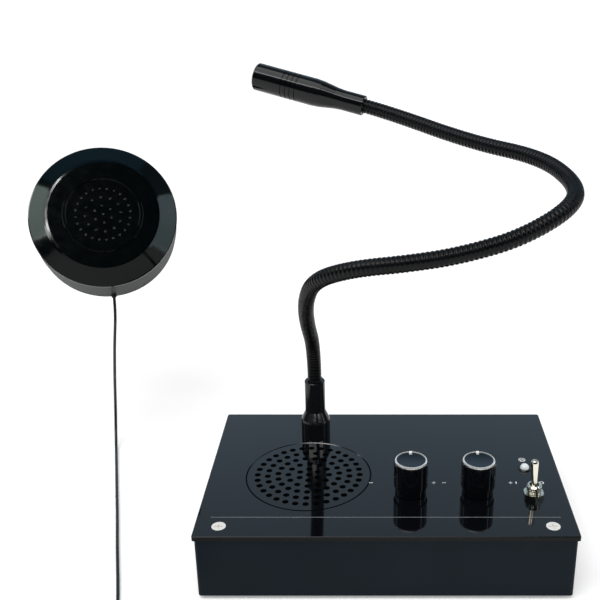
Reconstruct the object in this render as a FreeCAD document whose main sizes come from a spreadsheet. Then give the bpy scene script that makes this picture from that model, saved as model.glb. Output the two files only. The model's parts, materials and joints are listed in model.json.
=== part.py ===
"""Teller window intercom: a desk unit with a gooseneck microphone, and the round outdoor unit on its cable.

Millimetres. The origin is the middle of the desk unit's footprint, on the surface that its feet stand on.
+X is to the teller's right, +Y away from the teller and +Z up. Every driving size is a cell of the
spreadsheet "Sizes"; the sub-parts are bound to those cells.
"""
import FreeCAD, Part
import math
import os
import Sketcher

Vector = FreeCAD.Vector
doc = FreeCAD.newDocument("TellerIntercom")

# ------------------------------------------------------------------ driving dimensions
DRIVING_SIZES = {
    # desk case and panel
    "panel_width": 150.8,
    "panel_depth": 98.0,
    "panel_thick": 2.0,
    "panel_corner": 1.0,
    "panel_edge_round": 0.4,
    "panel_overhang": 0.75,
    "case_height": 26.5,
    "case_wall": 1.2,
    "case_corner": 1.5,
    "foot_height": 1.5,
    "foot_radius": 5.0,
    "foot_inset": 9.65,
    "score_line_front": 13.0,
    "score_line_width": 0.3,
    "score_line_deep": 0.15,
    "score_line_end": 5.4,
    # screws of the panel
    "cover_screw_side": 8.95,
    "cover_screw_front": 6.25,
    "cover_head_radius": 2.8,
    "cover_head_high": 1.4,
    "cover_screw_long": 10.0,
    "thread_radius": 1.5,
    "screw_play": 0.1,
    "cover_post_radius": 3.6,
    "rear_screw_side": 22.65,
    "rear_screw_drop": 6.0,
    "rear_screw_long": 6.0,
    "rear_lug_thick": 4.0,
    "rear_lug_width": 10.0,
    "rear_lug_drop": 10.0,
    "pan_head_radius": 2.8,
    "pan_head_high": 1.8,
    # loudspeaker grille and the desk loudspeaker
    "grille_left": 42.7,
    "grille_front": 44.0,
    "grille_pitch": 4.39,
    "grille_hole_radius": 1.35,
    "grille_ring_radius": 27.0,
    "grille_ring_width": 0.7,
    "grille_ring_deep": 0.4,
    "cloth_overlap": 2.0,
    "cloth_thick": 0.4,
    "speaker_radius": 27.0,
    "speaker_flange_thick": 1.0,
    "speaker_cone_radius": 23.0,
    "speaker_basket_deep": 10.0,
    "speaker_magnet_radius": 16.0,
    "speaker_magnet_high": 9.0,
    "voice_coil_radius": 7.0,
    "speaker_boss_radius": 2.5,
    "speaker_screw_gap": 1.5,
    "speaker_washer_radius": 5.0,
    "speaker_washer_thick": 1.2,
    "speaker_screw_radius": 1.25,
    "cone_paper": 0.5,
    "cone_dome": 2.6,
    "cone_throat": 4.4,
    "cone_roll": 3.2,
    # circuit board and what stands on it
    "board_width": 70.0,
    "board_side_gap": 4.45,
    "board_front_gap": 4.4,
    "board_rear_gap": 2.8,
    "board_thick": 1.6,
    "board_post_high": 5.0,
    "board_post_radius": 3.0,
    "board_hole_inset": 4.0,
    "chip_width": 20.0,
    "chip_depth": 4.6,
    "chip_high": 11.0,
    "chip_from_left": 25.0,
    "heatsink_rear_gap": 5.5,
    "heatsink_depth": 11.0,
    "heatsink_high": 15.0,
    "heatsink_side": 4.0,
    "heatsink_web": 2.5,
    "heatsink_fin": 1.4,
    "capacitor_radius": 4.0,
    "capacitor_high": 11.5,
    "capacitor_from_left": 5.5,
    "capacitor_from_front": 34.0,
    "capacitor_step": 11.0,
    "dc_jack_from_right": 29.0,
    "dc_jack_width": 9.0,
    "dc_jack_depth": 13.0,
    "dc_jack_high": 11.0,
    "dc_bore_radius": 3.1,
    "dc_bore_deep": 9.5,
    "dc_pin_radius": 1.0,
    "line_jack_from_left": 19.0,
    "line_jack_width": 9.0,
    "line_jack_depth": 14.0,
    "line_jack_high": 8.0,
    "line_bore_radius": 1.8,
    "line_bore_deep": 13.0,
    "jack_nose_radius": 3.9,
    "jack_nose_play": 0.1,
    # volume controls
    "knob_inner_x": 10.6,
    "knob_outer_x": 38.5,
    "knob_front": 30.9,
    "knob_radius": 7.1,
    "knob_high": 15.6,
    "knob_gap": 0.4,
    "knob_skirt_wall": 0.48,
    "knob_neck_high": 3.0,
    "knob_cap_inset": 0.45,
    "knob_cap_high": 0.8,
    "knob_rim_width": 0.7,
    "knob_rim_round": 0.4,
    "knob_shoulder": 0.45,
    "knob_dish_deep": 0.35,
    "pointer_width": 1.1,
    "pointer_long": 1.4,
    "pointer_proud": 0.4,
    "pot_radius": 8.0,
    "pot_high": 7.5,
    "pot_bush_radius": 3.5,
    "pot_bush_proud": 3.5,
    "pot_nut_flats": 10.0,
    "pot_nut_thick": 2.0,
    "pot_shaft_radius": 3.0,
    "shaft_play": 0.05,
    "pot_shaft_deep": 5.0,
    "nut_room": 0.25,
    # toggle switch
    "switch_side": 14.0,
    "switch_front": 28.0,
    "switch_body_width": 8.0,
    "switch_body_depth": 13.0,
    "switch_body_high": 9.5,
    "switch_bush_radius": 3.0,
    "switch_bush_proud": 5.6,
    "switch_bore_radius": 1.95,
    "switch_nut_flats": 8.0,
    "switch_nut_thick": 2.0,
    "lever_ball_play": 0.07,
    "lever_pivot_drop": 2.1,
    "lever_long": 12.6,
    "lever_root_radius": 1.15,
    "lever_tip_radius": 1.6,
    "lever_lean": 12.0,
    # indicator lamp
    "lamp_side": 14.4,
    "lamp_front": 48.7,
    "lamp_radius": 2.0,
    "lamp_play": 0.05,
    "lamp_proud": 2.5,
    "bezel_radius": 2.7,
    "bezel_high": 0.5,
    "bezel_sleeve": 0.35,
    # gooseneck
    "post_side": 1.2,
    "post_nut_gap": 0.65,
    "post_foot_radius": 6.6,
    "post_foot_high": 9.3,
    "post_taper_high": 4.0,
    "post_shoulder": 0.7,
    "post_neck_radius": 4.6,
    "post_high": 28.4,
    "post_stud_radius": 4.0,
    "post_stud_long": 9.0,
    "post_nut_flats": 11.0,
    "post_nut_thick": 3.0,
    "tube_radius": 3.2,
    "tube_bore_radius": 1.3,
    "tube_seat": 8.0,
    "tube_fit": 0.05,
    "ball_play": 0.1,
    # microphone
    "mic_long": 53.0,
    "mic_rear_radius": 4.5,
    "mic_rear_long": 10.0,
    "mic_sleeve_long": 24.0,
    "mic_radius": 6.2,
    "mic_wall": 1.0,
    "mic_spigot_long": 5.0,
    "mic_groove_start": 31.5,
    "mic_groove_step": 2.3,
    "mic_groove_width": 0.6,
    "mic_groove_deep": 0.35,
    "mic_edge_round": 0.5,
    "mic_capsule_high": 6.0,
    "mic_grille_thick": 0.6,
    "mic_grille_set": 0.8,
    "mic_hole_radius": 0.7,
    # outdoor unit, in its own frame: its back on the plane 0, its face towards +Z
    "outdoor_x": -144.9,
    "outdoor_y": 116.44,
    "outdoor_z": 101.9,
    "outdoor_tilt": 29.9,
    "outdoor_turn": 15.0,
    "outdoor_roll": 2.0,
    "outdoor_radius": 35.3,
    "outdoor_depth": 38.0,
    "outdoor_back_radius": 35.1,
    "outdoor_seam": 13.0,
    "outdoor_rim_at": 33.0,
    "outdoor_face_radius": 26.9,
    "outdoor_face_round": 1.0,
    "outdoor_wall": 1.8,
    "outdoor_lip": 1.5,
    "outdoor_bead_radius": 18.2,
    "outdoor_bead_width": 1.9,
    "outdoor_bead_high": 0.6,
    "outdoor_hole_pitch": 4.3,
    "outdoor_hole_radius": 0.7,
    "outdoor_speaker_radius": 18.0,
    "outdoor_cone_radius": 15.0,
    "outdoor_basket_deep": 7.0,
    "outdoor_magnet_radius": 10.0,
    "outdoor_magnet_high": 6.0,
    "outdoor_coil_radius": 5.0,
    "outdoor_screw_inset": 0.2,
    "outdoor_post_radius": 2.8,
    "outdoor_screw_long": 14.0,
    "outdoor_screw_head": 2.2,
    "outdoor_screw_radius": 1.2,
    "outdoor_capsule_radius": 3.0,
    "outdoor_capsule_high": 3.0,
    "outdoor_port_radius": 0.8,
    "outdoor_port_turn": 25.0,
    "outdoor_pad_radius": 30.0,
    "outdoor_pad_thick": 1.0,
    "cable_exit_drop": 3.0,
    "cable_exit_turn": -1.0,
    "grommet_radius": 1.35,
    "grommet_out": 1.6,
    "grommet_flange": 2.2,
    # cable, its coil and its plug
    "cable_radius": 0.75,
    "coil_x": -88.0,
    "coil_y": -79.0,
    "coil_radius": 9.0,
    "coil_half_width": 4.5,
    "coil_high": 6.3,
    "tie_thick": 0.6,
    "tie_width": 2.6,
    "tie_turn": 70.0,
    "plug_radius": 4.0,
    "plug_grip_long": 20.0,
    "plug_relief_long": 7.0,
    "plug_relief_radius": 1.9,
    "plug_pin_radius": 1.75,
    "plug_pin_long": 14.0,
}

# Counts of what repeats.
GRILLE_RING_COUNTS = (6, 12, 19, 25, 32)
GRILLE_RING_STARTS = (31.0, 0.0, 5.6, -3.2, 0.3)
OUTDOOR_RING_COUNTS = (6, 12, 24)
SPEAKER_SCREW_ANGLES = (30.0, 150.0, 270.0)
OUTDOOR_SCREW_ANGLES = (30.0, 150.0, 270.0 - 35.0)
HEATSINK_FINS = 6
CAPACITOR_COUNT = 3
MIC_GROOVES = 4
MIC_GRILLE_RING = 6

# Route of the gooseneck's middle line, from the top of its post: chosen points, whose corners are rounded
# by tangent arcs. A ball joint lies at the middle of each run that NECK_LINK_RUN_COUNTS comes to, and the
# last run gives the microphone its direction.
NECK_ROUTE = [
    (0, 0, 0), (0, 0, 17), (-1.2, -20.7, 36.8), (0, -42, 55), (4.7, -59, 70), (18.5, -69, 77.8),
    (39.7, -74, 81.7), (57.1, -74, 84.7), (77.7, -73, 90.7), (96.8, -64, 99.6), (102, -38.3, 101.2),
    (93.5, -13, 105.2), (68, 9.8, 106.6), (33.7, 38.6, 114.1), (22.5, 42, 116.6),
]
NECK_LINK_RUN_COUNTS = (1, 3, 3, 3, 2)

# Route of the cable's middle line, in the row frame: chosen points.
CABLE_ROUTE = [
    (-137.7, 92.0, 77.6), (-136.2, 86.9, 68.5), (-137.8, 84.6, 53.0), (-139.3, 83.0, 34.0),
    (-140.1, 80.5, 15.0), (-138.9, 71.5, 1.6), (-134.8, 56.5, 0.9), (-127.9, 31.0, 0.9),
    (-120.8, 5.0, 0.9), (-114.9, -17.6, 0.9), (-108.7, -40.0, 0.9), (-103.0, -60.5, 0.9),
    (-96.6, -80.5, 1.5),
]
TAIL_ROUTE = [(-88.0, -88.0, 2.6), (-78.0, -88.2, 2.2), (-68.0, -89.5, 3.2), (-58.0, -89.9, 4.0)]


# ------------------------------------------------------------------ named sizes
sheet = doc.addObject("Spreadsheet::Sheet", "Sizes")
for row, (alias, number) in enumerate(DRIVING_SIZES.items(), start=1):
    sheet.set("A%d" % row, alias.replace("_", " "))
    sheet.set("B%d" % row, repr(number))
    sheet.setAlias("B%d" % row, alias)
doc.recompute()


class Size:
    """A length rule: its value now, and the expression that binds a property to the spreadsheet."""

    def __init__(self, value, text):
        self.value = float(value)
        self.text = text

    def combine(self, other, sign, value, swapped=False):
        other_text = other.text if isinstance(other, Size) else repr(float(other))
        first, second = (other_text, self.text) if swapped else (self.text, other_text)
        return Size(value, "(%s %s %s)" % (first, sign, second))

    def __add__(self, other):
        return self.combine(other, "+", self.value + float(other))

    def __radd__(self, other):
        return self.combine(other, "+", float(other) + self.value, True)

    def __sub__(self, other):
        return self.combine(other, "-", self.value - float(other))

    def __rsub__(self, other):
        return self.combine(other, "-", float(other) - self.value, True)

    def __mul__(self, other):
        return self.combine(other, "*", self.value * float(other))

    def __rmul__(self, other):
        return self.combine(other, "*", float(other) * self.value, True)

    def __truediv__(self, other):
        return self.combine(other, "/", self.value / float(other))

    def __neg__(self):
        return self.combine(-1.0, "*", -self.value)

    def __float__(self):
        return self.value


class Sizes:
    """Every cell of the spreadsheet as a Size."""

    def __init__(self, names):
        for name in names:
            setattr(self, name, Size(sheet.get(name), "Sizes." + name))


s = Sizes(DRIVING_SIZES)

# Levels of the desk unit, from the surface up.
case_floor = s.foot_height + s.case_wall
panel_under = s.foot_height + s.case_height
panel_top = panel_under + s.panel_thick
case_width = s.panel_width - 2 * s.panel_overhang
case_depth = s.panel_depth - 2 * s.panel_overhang
board_top = case_floor + s.board_post_high + s.board_thick
rear_wall_in = case_depth / 2 - s.case_wall

# Places on the desk unit: each is measured from the edge or the piece that it keeps to.
cover_x = case_width / 2 - s.cover_screw_side
cover_y = s.cover_screw_front - case_depth / 2
rear_screw_x = case_width / 2 - s.rear_screw_side
grille_x = s.grille_left - s.panel_width / 2
grille_y = s.grille_front - s.panel_depth / 2
post_x = grille_x + s.post_side
post_y = grille_y + s.speaker_radius + s.post_nut_flats / math.sqrt(3.0) + s.post_nut_gap
knob_y = s.knob_front - s.panel_depth / 2
switch_x = s.panel_width / 2 - s.switch_side
switch_y = s.switch_front - s.panel_depth / 2
lamp_x = s.panel_width / 2 - s.lamp_side
lamp_y = s.lamp_front - s.panel_depth / 2
board_left = case_width / 2 - s.case_wall - s.board_side_gap - s.board_width
board_front = cover_y + s.cover_post_radius + s.board_front_gap
board_depth = rear_wall_in - s.board_rear_gap - board_front
chip_x = board_left + s.chip_from_left
chip_y = rear_wall_in - s.line_jack_depth - s.heatsink_rear_gap - s.heatsink_depth - s.chip_depth / 2
dc_jack_x = board_left + s.board_width - s.dc_jack_from_right
line_jack_x = board_left + s.line_jack_from_left


# ------------------------------------------------------------------ ways of making a solid
def bind(obj, prop, size):
    """Set a property, bound to the spreadsheet where the size comes from it."""
    if isinstance(size, Size):
        obj.setExpression(prop, size.text)
    else:
        setattr(obj, prop, size)


def place(obj, x=0.0, y=0.0, z=0.0, turn=None):
    """Put an object at x, y, z, each of them bound where it is a Size."""
    obj.Placement = FreeCAD.Placement(Vector(float(x), float(y), float(z)), turn or FreeCAD.Rotation())
    for axis, size in zip("xyz", (x, y, z)):
        if isinstance(size, Size):
            obj.setExpression("Placement.Base." + axis, size.text)
    return obj


def box(name, width, depth, height, x, y, z):
    """A block, centred on x and y, standing on z."""
    solid = doc.addObject("Part::Box", name)
    for prop, size in (("Length", width), ("Width", depth), ("Height", height)):
        bind(solid, prop, size)
    return place(solid, x - width / 2, y - depth / 2, z)


def cylinder(name, radius, height, x, y, z, turn=None):
    """A round bar that stands on x, y, z."""
    solid = doc.addObject("Part::Cylinder", name)
    bind(solid, "Radius", radius)
    bind(solid, "Height", height)
    return place(solid, x, y, z, turn)


def cone(name, low_radius, high_radius, height, x, y, z, turn=None):
    solid = doc.addObject("Part::Cone", name)
    for prop, size in (("Radius1", low_radius), ("Radius2", high_radius), ("Height", height)):
        bind(solid, prop, size)
    return place(solid, x, y, z, turn)


def hexagon(name, flats, height, x, y, z):
    """A hexagonal bar with a corner towards -Y; flats is its size across the flats."""
    solid = doc.addObject("Part::Prism", name)
    solid.Polygon = 6
    bind(solid, "Circumradius", flats / math.sqrt(3.0))
    bind(solid, "Height", height)
    return place(solid, x, y, z, FreeCAD.Rotation(Vector(0, 0, 1), 90))


def fuse(label, *solids):
    result = doc.addObject("Part::MultiFuse", label)
    result.Shapes = list(solids)
    return result


def cut(label, base, *tools):
    """The base less its tools."""
    tool = tools[0] if len(tools) == 1 else fuse(label + "_cutters", *tools)
    result = doc.addObject("Part::Cut", label)
    result.Base = base
    result.Tool = tool
    return result


def group(label, solids):
    """Identical pieces kept as separate solids of one node."""
    result = doc.addObject("Part::Compound", label)
    result.Links = list(solids)
    return result


def origin_feature(body, role):
    return next(item for item in body.Origin.OriginFeatures if item.Role == role)


def sketch_on(body, name, role, x=0.0, y=0.0, z=0.0):
    """A sketch on an origin plane of its body, moved within it by x, y, z of the plane's own axes."""
    sketch = body.newObject("Sketcher::SketchObject", name)
    sketch.AttachmentSupport = [(origin_feature(body, role), "")]
    sketch.MapMode = "FlatFace"
    for axis, size in zip("xyz", (x, y, z)):
        if isinstance(size, Size):
            sketch.setExpression("AttachmentOffset.Base." + axis, size.text)
    return sketch


def pin_point(sketch, item, end, x, y):
    """Fix one point of a sketch at x, y from its origin."""
    for kind, size in (("DistanceX", x), ("DistanceY", y)):
        if float(size) == 0.0:
            axis = -2 if kind == "DistanceX" else -1
            sketch.addConstraint(Sketcher.Constraint("PointOnObject", item, end, axis))
            continue
        index = sketch.addConstraint(Sketcher.Constraint(kind, -1, 1, item, end, float(size)))
        if isinstance(size, Size):
            sketch.setExpression("Constraints[%d]" % index, size.text)


def draw_outline(sketch, corners):
    """A closed outline of straight lines through corners, each of them fixed by its two sizes."""
    first = sketch.GeometryCount
    points = [Vector(float(x), float(y), 0) for x, y in corners]
    count = len(points)
    for index in range(count):
        sketch.addGeometry(Part.LineSegment(points[index], points[(index + 1) % count]), False)
    for index in range(count):
        following = first + (index + 1) % count
        sketch.addConstraint(Sketcher.Constraint("Coincident", first + index, 2, following, 1))
    for index, (x, y) in enumerate(corners):
        pin_point(sketch, first + index, 1, x, y)


def draw_circle(sketch, radius, x=0.0, y=0.0):
    item = sketch.addGeometry(Part.Circle(Vector(float(x), float(y), 0), Vector(0, 0, 1), float(radius)))
    index = sketch.addConstraint(Sketcher.Constraint("Radius", item, float(radius)))
    if isinstance(radius, Size):
        sketch.setExpression("Constraints[%d]" % index, radius.text)
    pin_point(sketch, item, 3, x, y)


def new_body(label):
    body = doc.addObject("PartDesign::Body", label)
    body.Label = label
    return body


def turned(label, corners):
    """A lathe-turned solid: corners are (radius, level) pairs of its half section."""
    body = new_body(label)
    sketch = sketch_on(body, label + "_section", "XZ_Plane")
    draw_outline(sketch, corners)
    feature = body.newObject("PartDesign::Revolution", label + "_turn")
    feature.Profile = sketch
    feature.ReferenceAxis = (sketch, ["V_Axis"])
    feature.Angle = 360
    return body


def pad(body, name, sketch, length, reverse=False):
    feature = body.newObject("PartDesign::Pad", name)
    feature.Profile = sketch
    bind(feature, "Length", length)
    feature.Reversed = reverse
    return feature


def pocket(body, name, sketch, length, reverse=False):
    feature = body.newObject("PartDesign::Pocket", name)
    feature.Profile = sketch
    bind(feature, "Length", length)
    feature.Reversed = reverse
    return feature


def rectangle(sketch, width, depth):
    x, y = width / 2, depth / 2
    draw_outline(sketch, [(-x, -y), (x, -y), (x, y), (-x, y)])


def upright_edges(shape):
    """Names of the straight vertical edges of a shape."""
    names = []
    for index, edge in enumerate(shape.Edges, start=1):
        low, high = edge.BoundBox.ZMin, edge.BoundBox.ZMax
        if high - low > 0.99 * edge.Length:
            names.append("Edge%d" % index)
    return names


def level_edges(shape, level):
    """Names of the edges of a shape that lie wholly at one level."""
    names = []
    for index, edge in enumerate(shape.Edges, start=1):
        if abs(edge.BoundBox.ZMin - level) < 1e-4 and abs(edge.BoundBox.ZMax - level) < 1e-4:
            names.append("Edge%d" % index)
    return names


def round_edges(body, name, base, edges, radius):
    feature = body.newObject("PartDesign::Fillet", name)
    feature.Base = (base, edges)
    bind(feature, "Radius", radius)
    return feature


def rounded_block(label, width, depth, height, level, corner):
    """A block with rounded upright edges, standing on level."""
    body = new_body(label)
    sketch = sketch_on(body, label + "_plan", "XY_Plane", z=level)
    rectangle(sketch, width, depth)
    block = pad(body, label + "_pad", sketch, height)
    doc.recompute()
    return body, round_edges(body, label + "_corners", block, upright_edges(block.Shape), corner)


def ring_of_holes(body, label, x, y, level, deep, hole_radius, reach, count, start):
    """Round holes in a ring about x, y, drilled down from level."""
    angle = math.radians(start)
    sketch = sketch_on(body, label + "_plan", "XY_Plane", x, y, level)
    draw_circle(sketch, hole_radius, reach * math.cos(angle), reach * math.sin(angle))
    drill = pocket(body, label + "_drill", sketch, deep)
    doc.recompute()
    pattern = body.newObject("PartDesign::PolarPattern", label)
    pattern.Originals = [drill]
    pattern.Axis = (sketch, ["N_Axis"])
    pattern.Angle = 360
    pattern.Occurrences = count
    body.Tip = pattern
    return pattern


def drilled(body, label, x, y, level, deep, radius):
    """One round hole, drilled down from level."""
    sketch = sketch_on(body, label + "_plan", "XY_Plane", x, y, level)
    draw_circle(sketch, radius)
    return pocket(body, label, sketch, deep)


def cross_recess(name, x, y, top, long, wide, deep):
    """The two crossed slots of a driver recess."""
    slots = [
        box(name + "_slot_a", long, wide, deep + 1, x, y, top - deep),
        box(name + "_slot_b", wide, long, deep + 1, x, y, top - deep),
    ]
    return fuse(name, *slots)


def screw_up_to(label, x, y, top, head_radius, head_high, shank_radius, shank_long, sunk=False):
    """A screw that points down, its head's top at the level top."""
    under = top - head_high
    low_radius = shank_radius if sunk else head_radius
    if sunk:
        head = cone(label + "_head", low_radius, head_radius, head_high, x, y, under)
    else:
        head = cylinder(label + "_head", head_radius, head_high, x, y, under)
    shank = cylinder(label + "_shank", shank_radius, shank_long, x, y, under - shank_long)
    recess = cross_recess(label + "_recess", x, y, top, head_radius * 1.15, head_radius * 0.2,
                          head_high * 0.6)
    return cut(label, fuse(label + "_blank", head, shank), recess)


# ------------------------------------------------------------------ desk case
def make_lower_case():
    """Folded tray with the posts that carry the board and take the cover screws, and the rear holes."""
    body, _ = rounded_block("case_tray", case_width, case_depth, s.case_height, s.foot_height, s.case_corner)
    hollow = sketch_on(body, "case_hollow_plan", "XY_Plane", z=panel_under)
    rectangle(hollow, case_width - 2 * s.case_wall, case_depth - 2 * s.case_wall)
    pocket(body, "case_hollow", hollow, s.case_height - s.case_wall)
    added = [body]
    for side in (-1, 1):
        name = "cover_post_%s" % ("left" if side < 0 else "right")
        added.append(cylinder(name, s.cover_post_radius, panel_under - case_floor,
                              side * cover_x, cover_y, case_floor))
    for index, (x, y) in enumerate(board_hole_places()):
        added.append(cylinder("board_post_%d" % index, s.board_post_radius, s.board_post_high, x, y,
                              case_floor))
    cutters = []
    for side in (-1, 1):
        name = "left" if side < 0 else "right"
        cutters.append(cylinder("cover_thread_" + name, s.thread_radius + s.screw_play / 2,
                                s.cover_screw_long + 1, side * cover_x, cover_y,
                                panel_top - s.cover_head_high - s.cover_screw_long - 1))
        cutters.append(rear_hole("rear_hole_" + name, s.thread_radius + s.screw_play, side * rear_screw_x,
                                 panel_under - s.rear_screw_drop))
    for index, (x, y) in enumerate(board_hole_places()):
        cutters.append(cylinder("board_thread_%d" % index, s.thread_radius + s.screw_play / 2,
                                s.board_post_high + 1, x, y, case_floor + 0.5))
    cutters.append(rear_hole("dc_jack_hole", s.jack_nose_radius + s.jack_nose_play, dc_jack_x, dc_axis))
    cutters.append(rear_hole("line_jack_hole", s.jack_nose_radius + s.jack_nose_play, line_jack_x, line_axis))
    return cut("lower_case", fuse("case_with_posts", *added), *cutters)


REARWARD = FreeCAD.Rotation(Vector(1, 0, 0), -90)
dc_axis = board_top + s.dc_jack_high / 2
line_axis = board_top + s.line_jack_high / 2


def rear_hole(name, radius, x, level):
    """A hole through the rear wall."""
    return cylinder(name, radius, s.case_wall + 2, x, rear_wall_in - 1, level, REARWARD)


def board_hole_places():
    """Middles of the board's four fixing holes."""
    left = board_left + s.board_hole_inset
    right = board_left + s.board_width - s.board_hole_inset
    front = board_front + s.board_hole_inset
    rear = board_front + board_depth - s.board_hole_inset
    return [(left, front), (right, front), (right, rear), (left, rear)]


def make_top_panel():
    """Gloss panel with its grille, controls' holes, score line, rear lugs and loudspeaker bosses."""
    body, corners = rounded_block("panel_blank", s.panel_width, s.panel_depth, s.panel_thick, panel_under,
                                  s.panel_corner)
    doc.recompute()
    round_edges(body, "panel_rim", corners, level_edges(corners.Shape, float(panel_top)), s.panel_edge_round)
    drilled(body, "grille_centre", grille_x, grille_y, panel_top, s.panel_thick, s.grille_hole_radius)
    for ring, (count, start) in enumerate(zip(GRILLE_RING_COUNTS, GRILLE_RING_STARTS), start=1):
        ring_of_holes(body, "grille_ring_%d" % ring, grille_x, grille_y, panel_top, s.panel_thick,
                      s.grille_hole_radius, ring * s.grille_pitch, count, start)
    groove = sketch_on(body, "grille_groove_plan", "XY_Plane", grille_x, grille_y, panel_top)
    draw_circle(groove, s.grille_ring_radius)
    draw_circle(groove, s.grille_ring_radius - s.grille_ring_width)
    pocket(body, "grille_groove", groove, s.grille_ring_deep)
    for side, x in (("left", s.knob_inner_x), ("right", s.knob_outer_x)):
        drilled(body, "pot_hole_" + side, x, knob_y, panel_top, s.panel_thick,
                s.pot_bush_radius + s.screw_play)
    drilled(body, "switch_hole", switch_x, switch_y, panel_top, s.panel_thick,
            s.switch_bush_radius + s.screw_play)
    drilled(body, "lamp_hole", lamp_x, lamp_y, panel_top, s.panel_thick, lamp_sleeve_radius + s.lamp_play)
    drilled(body, "post_hole", post_x, post_y, panel_top, s.panel_thick, s.post_stud_radius + s.screw_play)
    added = [body]
    cutters = [score_line()]
    for side in (-1, 1):
        name = "left" if side < 0 else "right"
        x = side * cover_x
        cutters.append(cylinder("cover_hole_" + name, s.thread_radius + s.screw_play, s.panel_thick + 2,
                                x, cover_y, panel_under - 1))
        cutters.append(cone("cover_sink_" + name, s.thread_radius, s.cover_head_radius + s.screw_play / 2,
                            s.cover_head_high, x, cover_y, panel_top - s.cover_head_high))
        lug_y = rear_wall_in - s.rear_lug_thick / 2 - 0.1
        added.append(box("rear_lug_" + name, s.rear_lug_width, s.rear_lug_thick, s.rear_lug_drop,
                         side * rear_screw_x, lug_y, panel_under - s.rear_lug_drop))
        cutters.append(cylinder("rear_thread_" + name, s.thread_radius + s.screw_play / 2,
                                s.rear_lug_thick + 2, side * rear_screw_x,
                                rear_wall_in - s.rear_lug_thick - 1, panel_under - s.rear_screw_drop, REARWARD))
    for index, (x, y) in enumerate(speaker_screw_places()):
        added.append(cylinder("speaker_boss_%d" % index, s.speaker_boss_radius, clamp_drop, x, y,
                              panel_under - clamp_drop))
        cutters.append(cylinder("speaker_thread_%d" % index, s.speaker_screw_radius + s.screw_play / 2,
                                clamp_drop + 0.5, x, y, panel_under - clamp_drop - 0.5))
    return cut("top_panel", fuse("panel_with_lugs", *added), *cutters)


def score_line():
    """The fine line across the panel, in front of the controls."""
    width = s.panel_width - 2 * s.score_line_end
    return box("score_line", width, s.score_line_width, s.score_line_deep + 1, 0.0,
               s.score_line_front - s.panel_depth / 2, panel_top - s.score_line_deep)


def speaker_screw_places():
    reach = s.speaker_radius + s.speaker_boss_radius + s.speaker_screw_gap
    places = []
    for angle in SPEAKER_SCREW_ANGLES:
        turn = math.radians(angle)
        places.append((grille_x + reach * math.cos(turn), grille_y + reach * math.sin(turn)))
    return places


clamp_drop = s.cloth_thick + s.speaker_flange_thick
lamp_sleeve_radius = s.lamp_radius + s.lamp_play + s.bezel_sleeve


def make_screws_and_feet():
    cover = [screw_up_to("cover_screw_" + name, side * cover_x, cover_y, panel_top,
                         s.cover_head_radius, s.cover_head_high, s.thread_radius, s.cover_screw_long, True)
             for side, name in ((-1, "left"), (1, "right"))]
    group("cover_screws", cover)
    rear = []
    for side, name in ((-1, "left"), (1, "right")):
        screw = screw_up_to("rear_screw_" + name, 0.0, 0.0, s.pan_head_high, s.pan_head_radius,
                            s.pan_head_high, s.thread_radius, s.rear_screw_long)
        rear.append(place(screw, side * rear_screw_x, case_depth / 2, panel_under - s.rear_screw_drop, REARWARD))
    group("rear_screws", rear)
    feet = []
    for index, (x_side, y_side) in enumerate(((-1, -1), (1, -1), (1, 1), (-1, 1))):
        x = x_side * (case_width / 2 - s.foot_inset)
        y = y_side * (case_depth / 2 - s.foot_inset)
        feet.append(cylinder("foot_%d" % index, s.foot_radius, s.foot_height, x, y, 0.0))
    group("rubber_feet", feet)


# ------------------------------------------------------------------ loudspeakers
def make_speaker(prefix, frame_radius, cone_radius, deep, magnet_radius, magnet_high, coil_radius, flange):
    """Basket, cone and magnet of a loudspeaker, which faces up, its front at level 0."""
    foot_radius = magnet_radius * 0.85
    basket = turned(prefix + "speaker_basket", [
        (cone_radius + 1, 0.0), (frame_radius, 0.0), (frame_radius, -flange), (cone_radius + 0.6, -flange),
        (foot_radius, -deep), (coil_radius + 1, -deep), (coil_radius + 1, 1 - deep), (foot_radius - 1, 1 - deep),
        (cone_radius - 0.8, -flange), (cone_radius - 0.8, -0.8), (cone_radius + 1, -0.8),
    ])
    paper, dome, throat = s.cone_paper, s.cone_dome, s.cone_throat
    roll_foot = cone_radius - s.cone_roll
    dome_edge = coil_radius * 0.6
    cone_piece = turned(prefix + "speaker_cone", [
        (0.0, -dome), (dome_edge, -dome - 0.4), (coil_radius, -throat), (roll_foot, -1.7),
        (cone_radius - 1.8, -0.7), (cone_radius - 0.6, -0.4), (cone_radius + 0.9, -0.4),
        (cone_radius + 0.9, -0.8), (cone_radius - 0.9, -0.8), (cone_radius - 2.0, -1.3),
        (roll_foot, -1.7 - paper), (coil_radius, -throat - paper - 0.3), (coil_radius, -0.8 - deep),
        (coil_radius - 0.5, -0.8 - deep), (coil_radius - 0.5, -throat - paper),
        (dome_edge, -dome - 0.4 - paper), (0.0, -dome - paper),
    ])
    magnet = turned(prefix + "speaker_magnet", [
        (0.0, -deep), (coil_radius - 0.8, -deep), (coil_radius - 0.8, 2 - deep - magnet_high),
        (coil_radius + 0.4, 2 - deep - magnet_high), (coil_radius + 0.4, -deep), (magnet_radius, -deep),
        (magnet_radius, -deep - magnet_high), (0.0, -deep - magnet_high),
    ])
    return basket, cone_piece, magnet


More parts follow.
